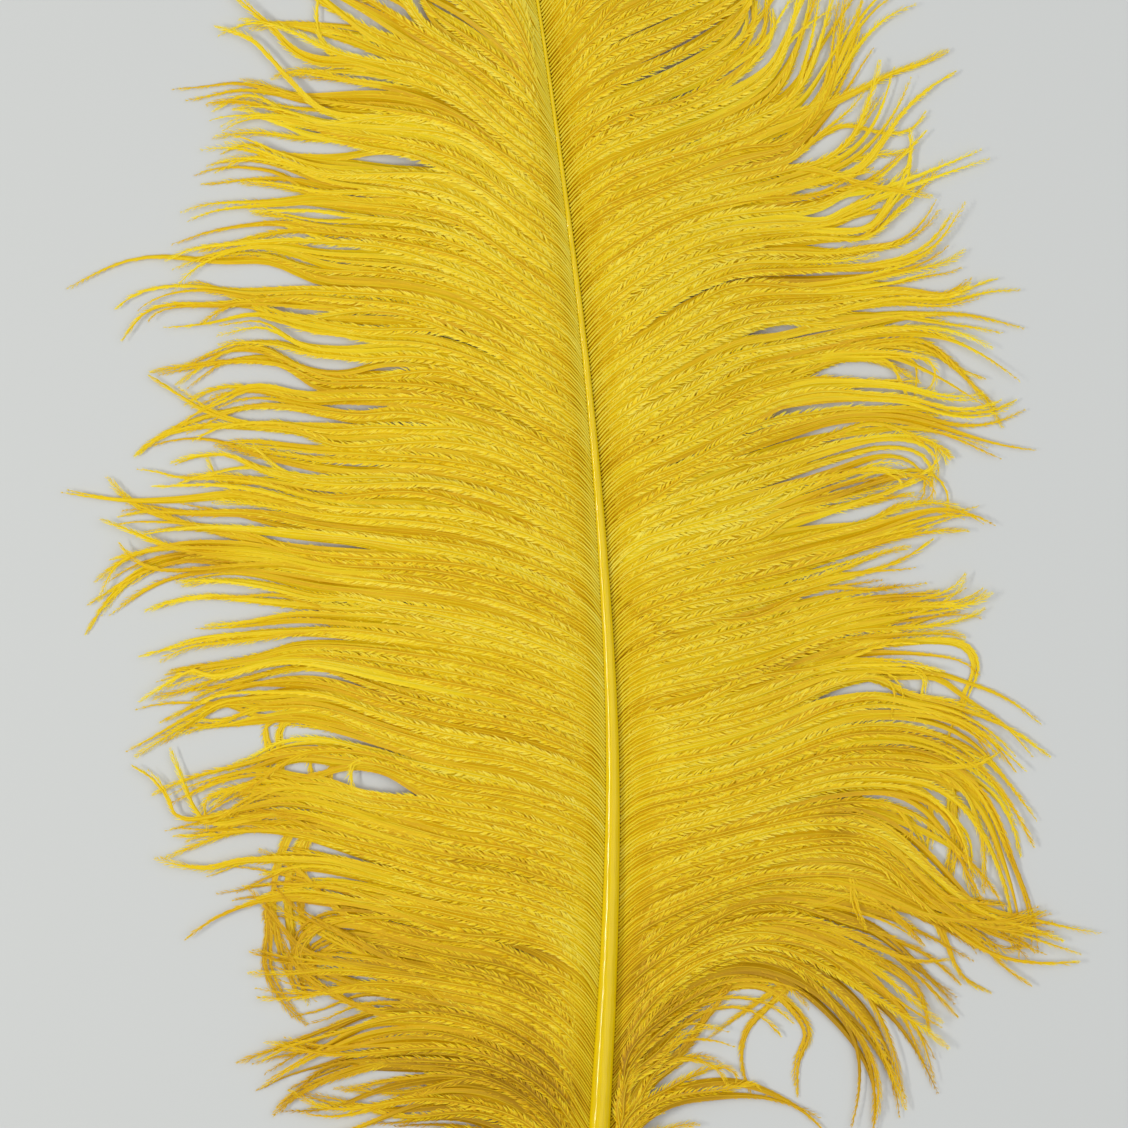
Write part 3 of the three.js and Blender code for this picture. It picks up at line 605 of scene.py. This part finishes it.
vane = {
    "seed": 11, "stations": 40,
    "spacing": 0.95, "spacingJitter": 0.06,     # mm between barbs along the shaft
    "lowest": -171.5, "highest": 202.0,         # plan mm, first and last root
    "leavingOut": 2.4, "leavingUp": (4.0, 3.0),         # mm, left and right: a barb leaves towards the tip
    "rootInset": (0.97, 1.02), "rootHeight": (0.1, -0.3),       # shares of the shaft's radius, both sides
    "landsAt": 0.66, "arch": 2.2, "landed": 0.6,        # a barb lies on the paper from this share on, mm
    "restHeight": 0.45,                         # mm, the least height of a barb's middle
    # by root, left and right: the share of a barb's length where it starts to gather into its strand,
    # and how much of its own place it keeps at the tip
    "spreadAt": (-171, -90, -60, 0, 25, 55, 80, 200),
    "gatherFrom": ((0.5, 0.55, 0.6, 0.6, 0.55, 0.4, 0.34, 0.4),
                   (0.5, 0.5, 0.62, 0.65, 0.62, 0.5, 0.45, 0.45)),
    "gatherJitter": 0.06, "gatherTo": 1.0,
    "spread": ((0.4, 0.42, 0.5, 0.55, 0.5, 0.3, 0.18, 0.25),
               (0.4, 0.4, 0.75, 0.8, 0.75, 0.4, 0.32, 0.3)),
    "strandsPerLock": 3, "strandApart": 2.0, "strandFrom": 0.45, "strandOver": 0.5, "strandJitter": 0.7,
    "drift": 3.0, "strongDrift": (0.25, 3.0), "driftFrom": 0.45,        # mm; some drift more than others
    "wave": 1.7, "waves": (0.7, 2.2), "curl": 2.8, "curlFrom": 0.72,
    "strandLength": (0.8, 0.99), "lengthSpread": 0.05, "shortest": 0.7,
    "wanderers": 0.15,                          # share of barbs that join a neighbouring lock
    "ownOffset": 0.4, "ownWave": (0.6, 1.0), "ownWaves": (1, 2.8), "underWave": 0.25, "ownDrift": 2.4,
    "lift": 1.5, "liftFrom": 0.35,              # mm that the highest strand rides over the lowest
    "leadEvery": 3,                             # one barb in so many lies on top, its barbules spread
    "leadRise": (0.5, 1.1), "underRise": 0.2,
    "loners": 0.14, "lonerReach": 6.0, "lonerFrom": (0.45, 0.75),       # barbs that leave their strand, mm
    # the lift, lead and under tones paint higher strands and the barbs on top paler and the barbs beneath
    # darker: painted light and shade
    "strandTone": 0.05, "liftPaintedLight": 0.16, "barbTone": 0.03, "leadPaintedLight": 0.035, "underPaintedShade": -0.05,
    # the dye lies deeper low down; the down is painted darker far out, and painted shade lies in the creases
    "lowDye": 0.22, "lowDyeFrom": -50.0, "lowDyeOver": 70.0,
    "rimDarkening": 0.05, "rimMiddle": 5.0, "rimFrom": 35.0, "rimOver": 50.0, "creaseShade": 0.24,
    # left and right: below this root many barbs are broken short
    "raggedBelow": (-400.0, -128.0), "ragged": 0.55, "brokenLength": (0.25, 0.6),
    "gapMargin": 0.8,
    "strayBarbs": 3, "strayUnder": 1.3,         # mm that a stray runs below the vane before it comes out
    "strayWave": 0.45, "strayTone": 0.06, "turnWeight": 14.0,
    "hangs": 14.0,                              # mm; a stray that runs down further stays under the rest
}
rng = np.random.default_rng(vane["seed"])


def pathThrough(points, count):
    # a smooth line through the points, at even steps along it
    points = np.array(points, float)
    times = np.concatenate([[0], np.cumsum(np.sqrt(np.linalg.norm(np.diff(points, axis=0), axis=1)))])
    steps = np.diff(times)[:, None]
    slopes = np.diff(points, axis=0) / steps
    tangents = np.concatenate([
        slopes[:1],
        (slopes[1:] * steps[:-1] + slopes[:-1] * steps[1:]) / (steps[1:] + steps[:-1]),
        slopes[-1:],
    ])
    fine = np.linspace(0, times[-1], 16 * len(points))
    i = np.clip(np.searchsorted(times, fine) - 1, 0, len(points) - 2)
    t = ((fine - times[i]) / (times[i + 1] - times[i]))[:, None]
    span = steps[i]
    line = hermite(t, span, points[i], points[i + 1], tangents[i], tangents[i + 1])
    far = np.concatenate([[0], np.cumsum(np.linalg.norm(np.diff(line, axis=0), axis=1))])
    even = np.linspace(0, far[-1], count)
    return np.stack([np.interp(even, far, line[:, k]) for k in range(line.shape[1])], axis=1)


def rootPoint(rootY, side):
    return shaftX(rootY) + side * shaftWidth(rootY) / 2 * vane["rootInset"][side > 0], rootY


def lockField(locks, side):
    roots = np.array([lock[0] for lock in locks], float)
    paths = []
    for rootY, passes in locks:
        x, y = rootPoint(rootY, side)
        leaving = (x + side * vane["leavingOut"], y + vane["leavingUp"][side > 0])
        paths.append(pathThrough([(x, y), leaving] + list(passes), vane["stations"]))
    return roots, np.array(paths)


def readField(roots, field, rootY):
    # the line that a barb rooted anywhere would take if every barb kept its place in the vane
    down = np.interp(-rootY, -roots, np.arange(len(roots)))
    i = np.clip(down.astype(int), 0, len(roots) - 2)
    t = (down - i)[:, None, None]
    return field[i] * (1 - t) + field[i + 1] * t


def shortened(paths, share):
    # each path cut at a share of its length, with its stations spread evenly again
    count = paths.shape[1]
    at = np.linspace(0, 1, count)[None, :] * share[:, None] * (count - 1)
    i = np.clip(at.astype(int), 0, count - 2)
    t = (at - i)[..., None]
    rows = np.arange(len(paths))[:, None]
    return paths[rows, i] * (1 - t) + paths[rows, i + 1] * t


def sideways(paths):
    run = unit(np.gradient(paths[..., :2], axis=1))
    return np.stack([-run[..., 1], run[..., 0]], axis=-1)


def parted(paths, gaps):
    # barbs give way on both sides of each gap, then run on smoothly
    for fromX, fromY, toX, toY, half in gaps:
        run = np.array([toX - fromX, toY - fromY], float)
        length = np.linalg.norm(run)
        run = run / length
        off = paths - (np.array([fromX, fromY]) + run * length / 2)
        along = np.clip(1 - ((off @ run) / (length / 2 + 2.0)) ** 2, 0, 1)
        apart = off @ np.array([-run[1], run[0]])
        hand = np.where((apart * along).sum(axis=1, keepdims=True) >= 0, 1.0, -1.0)
        near = apart * hand
        margin = vane["gapMargin"] * min(half, 1.0)
        wide = (half + margin) * along ** 0.6
        held = np.where(near < 0, near * (1 - eased(along * 3)), near)
        close = np.exp(-np.abs(np.maximum(near, 0)) / (1.5 * (half + margin)))
        reached = np.abs(near) < 4 * (half + 1)
        move = np.where(reached, held + wide * close - near, 0.0) * hand
        paths = paths + move[..., None] * np.array([-run[1], run[0]])
    for _ in range(2):
        paths[:, 1:-1] = 0.25 * paths[:, :-2] + 0.5 * paths[:, 1:-1] + 0.25 * paths[:, 2:]
    return paths


def profileZ(rootY, share, count, side):
    root = shaftZ(rootY) + shaftWidth(rootY) / 2 * vane["rootHeight"][side > 0]
    landed = np.clip(np.linspace(0, 1, count)[None, :] * share[:, None] / vane["landsAt"], 0, 1)
    height = root[:, None] * (1 - eased(landed)) + vane["arch"] * np.sin(pi * landed) * (1 - landed)
    return height + vane["landed"] * eased(landed * 2)


def vaneBarbs(locks, gaps, side):
    roots, field = lockField(locks, side)
    count = vane["stations"]
    share = np.linspace(0, 1, count)[None, :]
    rootY = np.arange(vane["lowest"], vane["highest"], vane["spacing"])
    rootY = rootY + rng.uniform(-1, 1, len(rootY)) * vane["spacingJitter"]
    number = len(rootY)
    base = readField(roots, field, rootY)

    # strands: each lock parts into a few, which drift, wave and curl on their way out
    perLock = vane["strandsPerLock"]
    across = sideways(field)
    shape = (len(roots), perLock)
    strandTurn = (np.arange(perLock) - (perLock - 1) / 2)[None, :]
    strandTurn = strandTurn + rng.normal(0, vane["strandJitter"], shape)
    parting = eased((share - vane["strandFrom"]) / vane["strandOver"])[None]
    apart = strandTurn[..., None] * vane["strandApart"] * parting
    turns = share[None] * rng.uniform(*vane["waves"], shape)[..., None] + rng.uniform(0, 1, shape)[..., None]
    wave = vane["wave"] * rng.normal(0, 1, shape)[..., None] * share[None] ** 1.5 * np.sin(2 * pi * turns)
    drift = np.clip((share[None] - vane["driftFrom"]) / (1 - vane["driftFrom"]), 0, 1) ** 1.5
    curl = np.clip((share[None] - vane["curlFrom"]) / (1 - vane["curlFrom"]), 0, 1) ** 2
    strong = np.where(rng.random(shape) < vane["strongDrift"][0], vane["strongDrift"][1], 1.0)
    wave = wave + vane["drift"] * (strong * rng.normal(0, 1, shape))[..., None] * drift
    wave = wave + vane["curl"] * rng.normal(0, 1, shape)[..., None] * curl
    strands = field[:, None] + (across[:, None] * (apart + wave)[..., None]) * -side
    strandLength = rng.uniform(*vane["strandLength"], shape)
    strandLength[np.arange(len(roots)), rng.integers(0, perLock, len(roots))] = 1.0
    strandLift = rng.uniform(0, 1, shape) ** 1.6
    # strands that ride higher are painted paler and lower ones darker: painted light and shade
    strandTone = rng.normal(0, vane["strandTone"], shape) + vane["liftPaintedLight"] * (strandLift - 0.4)

    # which lock and strand each barb runs with
    order = np.interp(-rootY, -roots, np.arange(len(roots)))
    lock = np.clip(np.round(order + rng.uniform(-0.12, 0.12, number)), 0, len(roots) - 1).astype(int)
    wanders = rng.random(number) < vane["wanderers"]
    lock = np.clip(lock + np.where(wanders, rng.choice([-1, 1], number), 0), 0, len(roots) - 1)
    within = np.clip((order - lock + 0.5) * perLock + rng.uniform(-0.35, 0.35, number), 0, perLock - 0.01)
    strand = within.astype(int)
    group = np.arange(number) // vane["leadEvery"]
    pick = rng.integers(0, vane["leadEvery"] - 1, group[-1] + 1)
    lead = np.arange(number) % vane["leadEvery"] == pick[group]

    gatherFrom = np.interp(rootY, vane["spreadAt"], vane["gatherFrom"][side > 0])[:, None]
    gatherFrom = gatherFrom + rng.normal(0, vane["gatherJitter"], (number, 1))
    least = np.interp(rootY, vane["spreadAt"], vane["spread"][side > 0])[:, None]
    gathered = 1 - (1 - least) * eased((share - gatherFrom) / (vane["gatherTo"] - gatherFrom) * 1.15)
    own = rng.normal(0, vane["ownOffset"], (number, 1)) * eased(share / 0.3)
    ownWave = between(*vane["ownWave"], share) * eased(share / 0.15)
    ownWave = ownWave * np.where(lead, 1.0, vane["underWave"])[:, None]
    own = own + ownWave * rng.normal(0, 1, (number, 1)) * np.sin(
        2 * pi * (share * rng.uniform(*vane["ownWaves"], (number, 1)) + rng.random((number, 1))))
    outerHalf = np.clip((share - 0.5) / 0.5, 0, 1)
    own = own + vane["ownDrift"] * rng.normal(0, 1, (number, 1)) * outerHalf ** 1.5
    paths = base * gathered[..., None] + strands[lock, strand] * (1 - gathered[..., None])
    leaves = (rng.random(number) < vane["loners"])[:, None]
    leavesAt = rng.uniform(*vane["lonerFrom"], (number, 1))
    reach = rng.normal(0, vane["lonerReach"], (number, 1))
    own = own + leaves * reach * np.clip((share - leavesAt) / (1 - leavesAt), 0, 1) ** 1.6
    paths = parted(paths + sideways(paths) * own[..., None], gaps)
    length = strandLength[lock, strand] * (1 - np.abs(rng.normal(0, vane["lengthSpread"], number)))
    length = np.clip(length, vane["shortest"], 1.0)
    broken = (rootY < vane["raggedBelow"][side > 0]) & (rng.random(number) < vane["ragged"])
    length = np.where(broken, rng.uniform(*vane["brokenLength"], number), length)
    paths = shortened(paths, length)
    z = profileZ(rootY, length, count, side)
    outer = eased((share * length[:, None] - vane["liftFrom"]) / 0.5)
    lift = strandLift[lock, strand][:, None] * vane["lift"] * outer
    rise = np.where(lead, rng.uniform(*vane["leadRise"], number), rng.uniform(0, vane["underRise"], number))
    z = z + lift + rise[:, None] * eased((share - 0.04) / 0.12) * (1 - 0.6 * outer)
    z = np.maximum(z, vane["restHeight"])
    tone = strandTone[lock, strand] + rng.normal(0, vane["barbTone"], number)
    # barbs on top painted paler and barbs beneath darker: painted light and shade
    tone = tone + np.where(lead, vane["leadPaintedLight"], vane["underPaintedShade"])
    return rootY, np.concatenate([paths, z[..., None]], axis=2), tone, lead, (roots, field)


def strayBarbs(strays, fieldOfVane, side):
    # a stray follows the vane's own line out to where it leaves it, and then its own points
    roots, field = fieldOfVane
    count = vane["stations"]
    tryRoots = np.arange(vane["lowest"], vane["highest"], 2.0)
    lines = readField(roots, field, tryRoots)
    rootY, paths, lengths, lifts = [], [], [], []
    for stray in strays:
        start = np.array(stray[0], float)
        hangs = stray[0][1] - stray[-1][1] > vane["hangs"]
        lifts.append(0.0 if hangs else rng.uniform(0.3, 1))
        heading = unit(np.array(stray[1], float) - start)
        run = unit(np.gradient(lines, axis=1))
        turned = 1 - run @ heading
        cost = np.linalg.norm(lines - start, axis=2) + vane["turnWeight"] * turned
        cost[:, :8] = 1e6                       # never right at the shaft
        i, j = np.unravel_index(np.argmin(cost), cost.shape)
        last = max(j - 6, 3)
        knots = [tuple(p) for p in lines[i, :last + 1:4]] + [tuple(p) for p in stray]
        line = pathThrough(knots, count)
        for k in range(vane["strayBarbs"]):
            share = np.linspace(0, 1, count)
            off = rng.normal(0, 0.4) * eased(share / 0.3)[:, None]
            bends = np.sin(2 * pi * (share * rng.uniform(1.5, 3) + rng.random()))
            off = off + vane["strayWave"] * (bends * eased((share - 0.35) / 0.25))[:, None]
            rootY.append(tryRoots[i] + rng.normal(0, 1.0))
            shift = (np.array(rootPoint(rootY[-1], side)) - line[0]) * (1 - eased(share / 0.3))[:, None]
            paths.append(line + shift + sideways(line[None])[0] * off)
            lengths.append(1.0 - 0.1 * k * rng.random())
    rootY, lengths = np.array(rootY), np.array(lengths)
    paths = shortened(np.array(paths), lengths)
    z = profileZ(rootY, lengths, count, side)
    lift = np.repeat(lifts, vane["strayBarbs"])[:, None]
    share = np.linspace(0, 1, count)[None]
    below = np.where(lift > 0, 1 - eased((share - 0.2) / 0.3), 1.0)
    z = z + lift * vane["lift"] * eased((share - 0.3) / 0.5) - vane["strayUnder"] * below
    z = np.maximum(z, vane["restHeight"])
    tone = np.repeat(rng.normal(0, vane["strayTone"], len(strays)), vane["strayBarbs"])
    lead = np.arange(len(rootY)) % vane["strayBarbs"] == 0
    return rootY, np.concatenate([paths, z[..., None]], axis=2), tone, lead


barb = {
    # pairs are for the inner and the outer part of a barb; mm and degrees
    "leadWeb": (0.6, 0.6), "underWeb": (1.15, 0.55), "webDrop": 0.2, "rootWeb": 0.4,
    "stemHalf": 0.13, "stemHigh": (0.24, 0.07),
    "rootStem": {"left": (0.26, 0.5), "right": (0.24, 0.4)},    # half width and height of the bare root
    "rootReach": {"left": 12.0, "right": 9.0}, "rootBare": {"left": 4.0, "right": 1.5}, "rootDrop": 0.9,
    # rootContrast: how strongly the painted highlight and shade show on the bare roots, left and right
    "rootContrast": {"left": 1.0, "right": 0.65},
    "taper": 28.0,                              # mm over which the tip narrows
    "roll": 0.45,                               # radians, how far a barb turns about its run
    # painted highlight and shade, from one rim over the crest to the other: along a barb, along its bare
    # root; on a barbule, at its root, one side, its tip and the other side
    "middleTone": 0.52, "ridge": (-0.2, -0.2, 0.4, -0.2, -0.2),
    "rootRidge": (-0.65, -0.15, 0.36, -0.15, -0.65),
    "barbuleLightAndShade": (-0.2, 0.0, 0.36, 0.0), "barbuleTone": 0.07,
    "leadStep": 0.62, "underStep": 1.2, "crowding": 1.2,        # mm between barbules
    "leadLength": (3.0, 2.8), "underLength": (2.2, 2.2), "lengthVaries": (0.75, 1.15),
    "angle": (40.0, 11.0), "angleSpread": 5.0, "fluffy": 20.0,
    "leadHalf": (0.24, 0.12), "underHalf": (0.26, 0.11), "halfVaries": (0.8, 1.2),
    "slat": (0.35, 0.25), "barbuleDrop": 0.25, "barbuleSink": 0.06,
    "knee": 0.45,                               # share of a barbule's length where it is widest
    "above": 0.05,                              # mm, nothing free goes nearer to the paper
}


def barbFrames(paths):
    run = unit(np.gradient(paths, axis=1))
    flat = unit(np.stack([-run[..., 1], run[..., 0], np.zeros(run.shape[:2])], axis=-1))
    up = np.cross(run, flat)
    share = np.linspace(0, 1, paths.shape[1])[None, :]
    turns = rng.uniform(0.5, 1.5, (len(paths), 1))
    sway = np.sin(2 * pi * (share * turns + rng.random((len(paths), 1))))
    roll = barb["roll"] * sway * eased((share - 0.2) / 0.4)
    c, s = np.cos(roll)[..., None], np.sin(roll)[..., None]
    return run, flat * c + up * s, up * c - flat * s


def deepened(xy):
    # how much darker the down is painted at plan points: deeper dye low down, darker far out and in the
    # listed places, and painted shade in the creases
    deeper = vane["lowDye"] * eased((vane["lowDyeFrom"] - xy[..., 1]) / vane["lowDyeOver"])
    # darker far out from the middle
    aside = np.abs(xy[..., 0] - vane["rimMiddle"])
    deeper += vane["rimDarkening"] * eased((aside - vane["rimFrom"]) / vane["rimOver"])
    for x, y, halfX, halfY, amount in deepPlaces:
        off = ((xy[..., 0] - x) / halfX) ** 2 + ((xy[..., 1] - y) / halfY) ** 2
        deeper += amount * np.exp(-off)
    # painted shade along the creases
    for fromX, fromY, toX, toY, half in creases:
        run = np.array([toX - fromX, toY - fromY])
        t = np.clip(((xy - (fromX, fromY)) @ run) / (run @ run), 0, 1)
        away = np.linalg.norm(xy - (fromX, fromY) - t[..., None] * run, axis=-1)
        deeper += vane["creaseShade"] * np.exp(-(away / half) ** 2)
    return deeper


def makeBarbs(name, paths, tone, lead):
    # one mesh: for each barb a stem with the web of barbules along it, and the barbules that stand free.
    # The quantities along a barb are a row for each barb and a column for each station.
    number, count = paths.shape[:2]
    run, aside, up = barbFrames(paths)
    steps = np.linalg.norm(np.diff(paths, axis=1), axis=2)
    far = np.concatenate([np.zeros((number, 1)), np.cumsum(steps, axis=1)], axis=1)
    left = far[:, -1:] - far
    point = np.clip(left / barb["taper"], 0, 1) ** 0.7
    sideName = "left" if name.startswith("left") else "right"
    rootHalf, rootHigh = barb["rootStem"][sideName]
    near = 1 - eased(far / barb["rootReach"][sideName])
    out = eased((far / far[:, -1:] - 0.45) / 0.5)
    leads = lead[:, None]

    def pair(leadName, underName, t, which):
        return np.where(which, between(*barb[leadName], t), between(*barb[underName], t))

    # the stem and its web: five points round the barb at each station
    web = between(pair("leadWeb", "underWeb", out, leads), barb["rootWeb"], near) * point
    stemHalf = between(barb["stemHalf"], rootHalf, near) * np.maximum(point, 0.3)
    stemHigh = between(between(*barb["stemHigh"], out), rootHigh, near) * np.maximum(point, 0.3)
    drop = between(barb["webDrop"] * point, barb["rootDrop"], near)
    low = np.zeros_like(web)
    offsets = [(web, -drop), (stemHalf, low), (low, stemHigh), (-stemHalf, low), (-web, -drop)]
    rings = np.stack([paths + aside * a[..., None] + up * b[..., None] for a, b in offsets], axis=2)
    across = np.stack([a for a, _ in offsets], axis=2)
    ownGrain = 3.0 * np.arange(number)[:, None, None]       # each barb has its own stretch of the grain
    ringUv = np.stack([np.repeat(far[..., None], 5, axis=2), across + ownGrain], axis=-1)
    inner = (1 - out)[..., None]
    # painted highlight along each barb's crest and painted shade at its rims, weaker far out and half as
    # strong on barbs beneath; the bare roots have their own
    ridge = np.array(barb["ridge"]) * between(0.35, 1.0, inner) * np.where(leads, 1, 0.5)[..., None]
    rootRidge = np.array(barb["rootRidge"])
    pathTone = barb["middleTone"] + tone[:, None] - deepened(paths[..., :2])
    fainter = 1 - 0.6 * eased((10 - paths[..., 1:2]) / 110)        # the painted highlight and shade on the bare roots are weaker low down, and the roots paler
    bareTone = rootRidge * fainter * barb["rootContrast"][sideName] + 0.2 * (1 - fainter)
    ringTone = pathTone[..., None] + between(ridge, bareTone, near[..., None])
    index = np.arange(number * count * 5).reshape(number, count, 5)
    a, b = index[:, :-1, :-1], index[:, :-1, 1:]
    c, d = index[:, 1:, 1:], index[:, 1:, :-1]
    quads = np.stack([a, b, c, d], axis=-1).reshape(-1, 4)

    # barbules, in rows on both sides of every barb
    each = np.maximum((far[:, -1] / np.where(lead, barb["leadStep"], barb["underStep"])).astype(int), 2)
    owner = np.repeat(np.arange(number), each)
    before = np.repeat(np.cumsum(each) - each, each)
    place = (np.arange(len(owner)) - before + 0.5) / np.repeat(each, each)
    owner, place = np.tile(owner, 2), np.tile(place, 2)
    hand = np.repeat([-1.0, 1.0], len(owner) // 2)[:, None]
    total = len(owner)
    place = np.clip(place ** barb["crowding"] + rng.normal(0, 0.2, total) / each[owner], 0, 1)
    at = place * (count - 1)
    i = np.clip(at.astype(int), 0, count - 2)
    t = (at - i)[:, None]

    def read(values):
        return values[owner, i] * (1 - t) + values[owner, i + 1] * t

    origin, along, beside, above = read(paths), unit(read(run)), unit(read(aside)), unit(read(up))
    distance = read(far[..., None])[:, 0]
    remaining = read(left[..., None])[:, 0]
    outer = eased((place - 0.42) / 0.5)
    fluffy = rng.random(number) ** 1.5 * barb["fluffy"]
    degrees = between(*barb["angle"], outer) + fluffy[owner] * outer
    angle = radians(1) * (degrees + rng.normal(0, barb["angleSpread"], total))
    length = pair("leadLength", "underLength", outer, lead[owner])
    length = length * rng.uniform(*barb["lengthVaries"], total)
    length = length * eased((distance - barb["rootBare"][sideName]) / 7 + 0.05)     # none on the bare root
    length = length * np.clip(remaining / 6 + 0.3, 0, 1)
    c, s = np.cos(angle)[:, None], np.sin(angle)[:, None]
    heading = along * c + beside * hand * s
    bent = angle * 0.6
    tipHeading = along * np.cos(bent)[:, None] + beside * hand * np.sin(bent)[:, None]
    close = 1 - eased(distance / 12)
    rise = (rng.normal(0, 0.05, total) - barb["barbuleDrop"] * close - 0.1)[:, None]
    tilt = (rng.normal(*barb["slat"], total) * -hand[:, 0])[:, None]
    wide = unit(np.cross(above, heading)) * np.cos(tilt) + above * np.sin(tilt)
    half = pair("leadHalf", "underHalf", outer, lead[owner]) * rng.uniform(*barb["halfVaries"], total)
    half = half[:, None]
    size = length[:, None]
    start = origin - above * barb["barbuleSink"]
    knee = start + (heading + above * rise) * size * barb["knee"]
    tip = knee + (tipHeading - above * 0.05) * size * (1 - barb["knee"])
    free = np.stack([start, knee + wide * half, tip, knee - wide * half], axis=1)
    free[..., 2] = np.maximum(free[..., 2], barb["above"])
    # each barbule is painted darker at its root and paler at its tip, as painted shade and highlight, less
    # so far out
    barbuleLightAndShade = np.array(barb["barbuleLightAndShade"]) * between(1.0, 0.35, outer)[:, None]
    ownTone = read(pathTone[..., None])[:, 0] + rng.normal(0, barb["barbuleTone"], total)
    freeTone = ownTone[:, None] + barbuleLightAndShade
    diamonds = number * count * 5 + np.arange(total * 4).reshape(total, 4)
    grainPlace = hand * rng.random((total, 1)) * 9 + np.zeros((1, 4))
    freeUv = np.stack([distance[:, None] + np.zeros((1, 4)), grainPlace], axis=-1)

    # both joined into one mesh, in metres about the frame's origin
    points = np.concatenate([rings.reshape(-1, 3), free.reshape(-1, 3)])
    points[:, :2] -= planCentre
    points *= mm
    faces = np.concatenate([quads, diamonds])
    mesh = bpy.data.meshes.new(name)
    mesh.vertices.add(len(points))
    mesh.vertices.foreach_set("co", points.astype(np.float32).ravel())
    mesh.loops.add(faces.size)
    mesh.loops.foreach_set("vertex_index", faces.astype(np.int32).ravel())
    mesh.polygons.add(len(faces))
    mesh.polygons.foreach_set("loop_start", np.arange(0, faces.size, 4, dtype=np.int32))
    smooth = np.zeros(len(faces), bool)
    smooth[:len(quads)] = True
    mesh.polygons.foreach_set("use_smooth", smooth)
    mesh.update(calc_edges=True)
    tones = mesh.attributes.new("tone", "FLOAT", "POINT")
    tones.data.foreach_set("value", np.concatenate([ringTone.ravel(), freeTone.ravel()]).astype(np.float32))
    uvs = np.concatenate([ringUv.reshape(-1, 2), freeUv.reshape(-1, 2)])[faces.ravel()]
    mesh.uv_layers.new(name="UVMap").data.foreach_set("uv", uvs.astype(np.float32).ravel())
    mesh.materials.append(barbMaterial)
    piece = bpy.data.objects.new(name, mesh)
    bpy.context.scene.collection.objects.link(piece)
    print(name, "made:", number, "barbs,", 2 * len(faces), "triangles")
    return piece


plumeSides = (
    ("left", -1, leftLocks, leftGaps, leftStrays),
    ("right", 1, rightLocks, rightGaps, rightStrays),
)
plumeParts = (("Tip", 82, 300), ("Middle", -40, 82), ("Foot", -300, -40))       # roots from and to, plan mm
barbPieces = []
for sideName, side, locks, gaps, strays in plumeSides:
    mainRoots, mainPaths, mainTone, mainLead, vaneField = vaneBarbs(locks, gaps, side)
    strayRoots, strayPaths, strayTone, strayLead = strayBarbs(strays, vaneField, side)
    rootYs = np.concatenate([mainRoots, strayRoots])
    paths = np.concatenate([mainPaths, strayPaths])
    tones = np.concatenate([mainTone, strayTone])
    leading = np.concatenate([mainLead, strayLead])
    for partName, lowY, highY in plumeParts:
        chosen = (rootYs >= lowY) & (rootYs < highY)
        barbPieces.append(makeBarbs(sideName + partName, paths[chosen], tones[chosen], leading[chosen]))

for piece in [shaftPiece] + barbPieces:
    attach(piece, "root")
    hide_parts("feather")
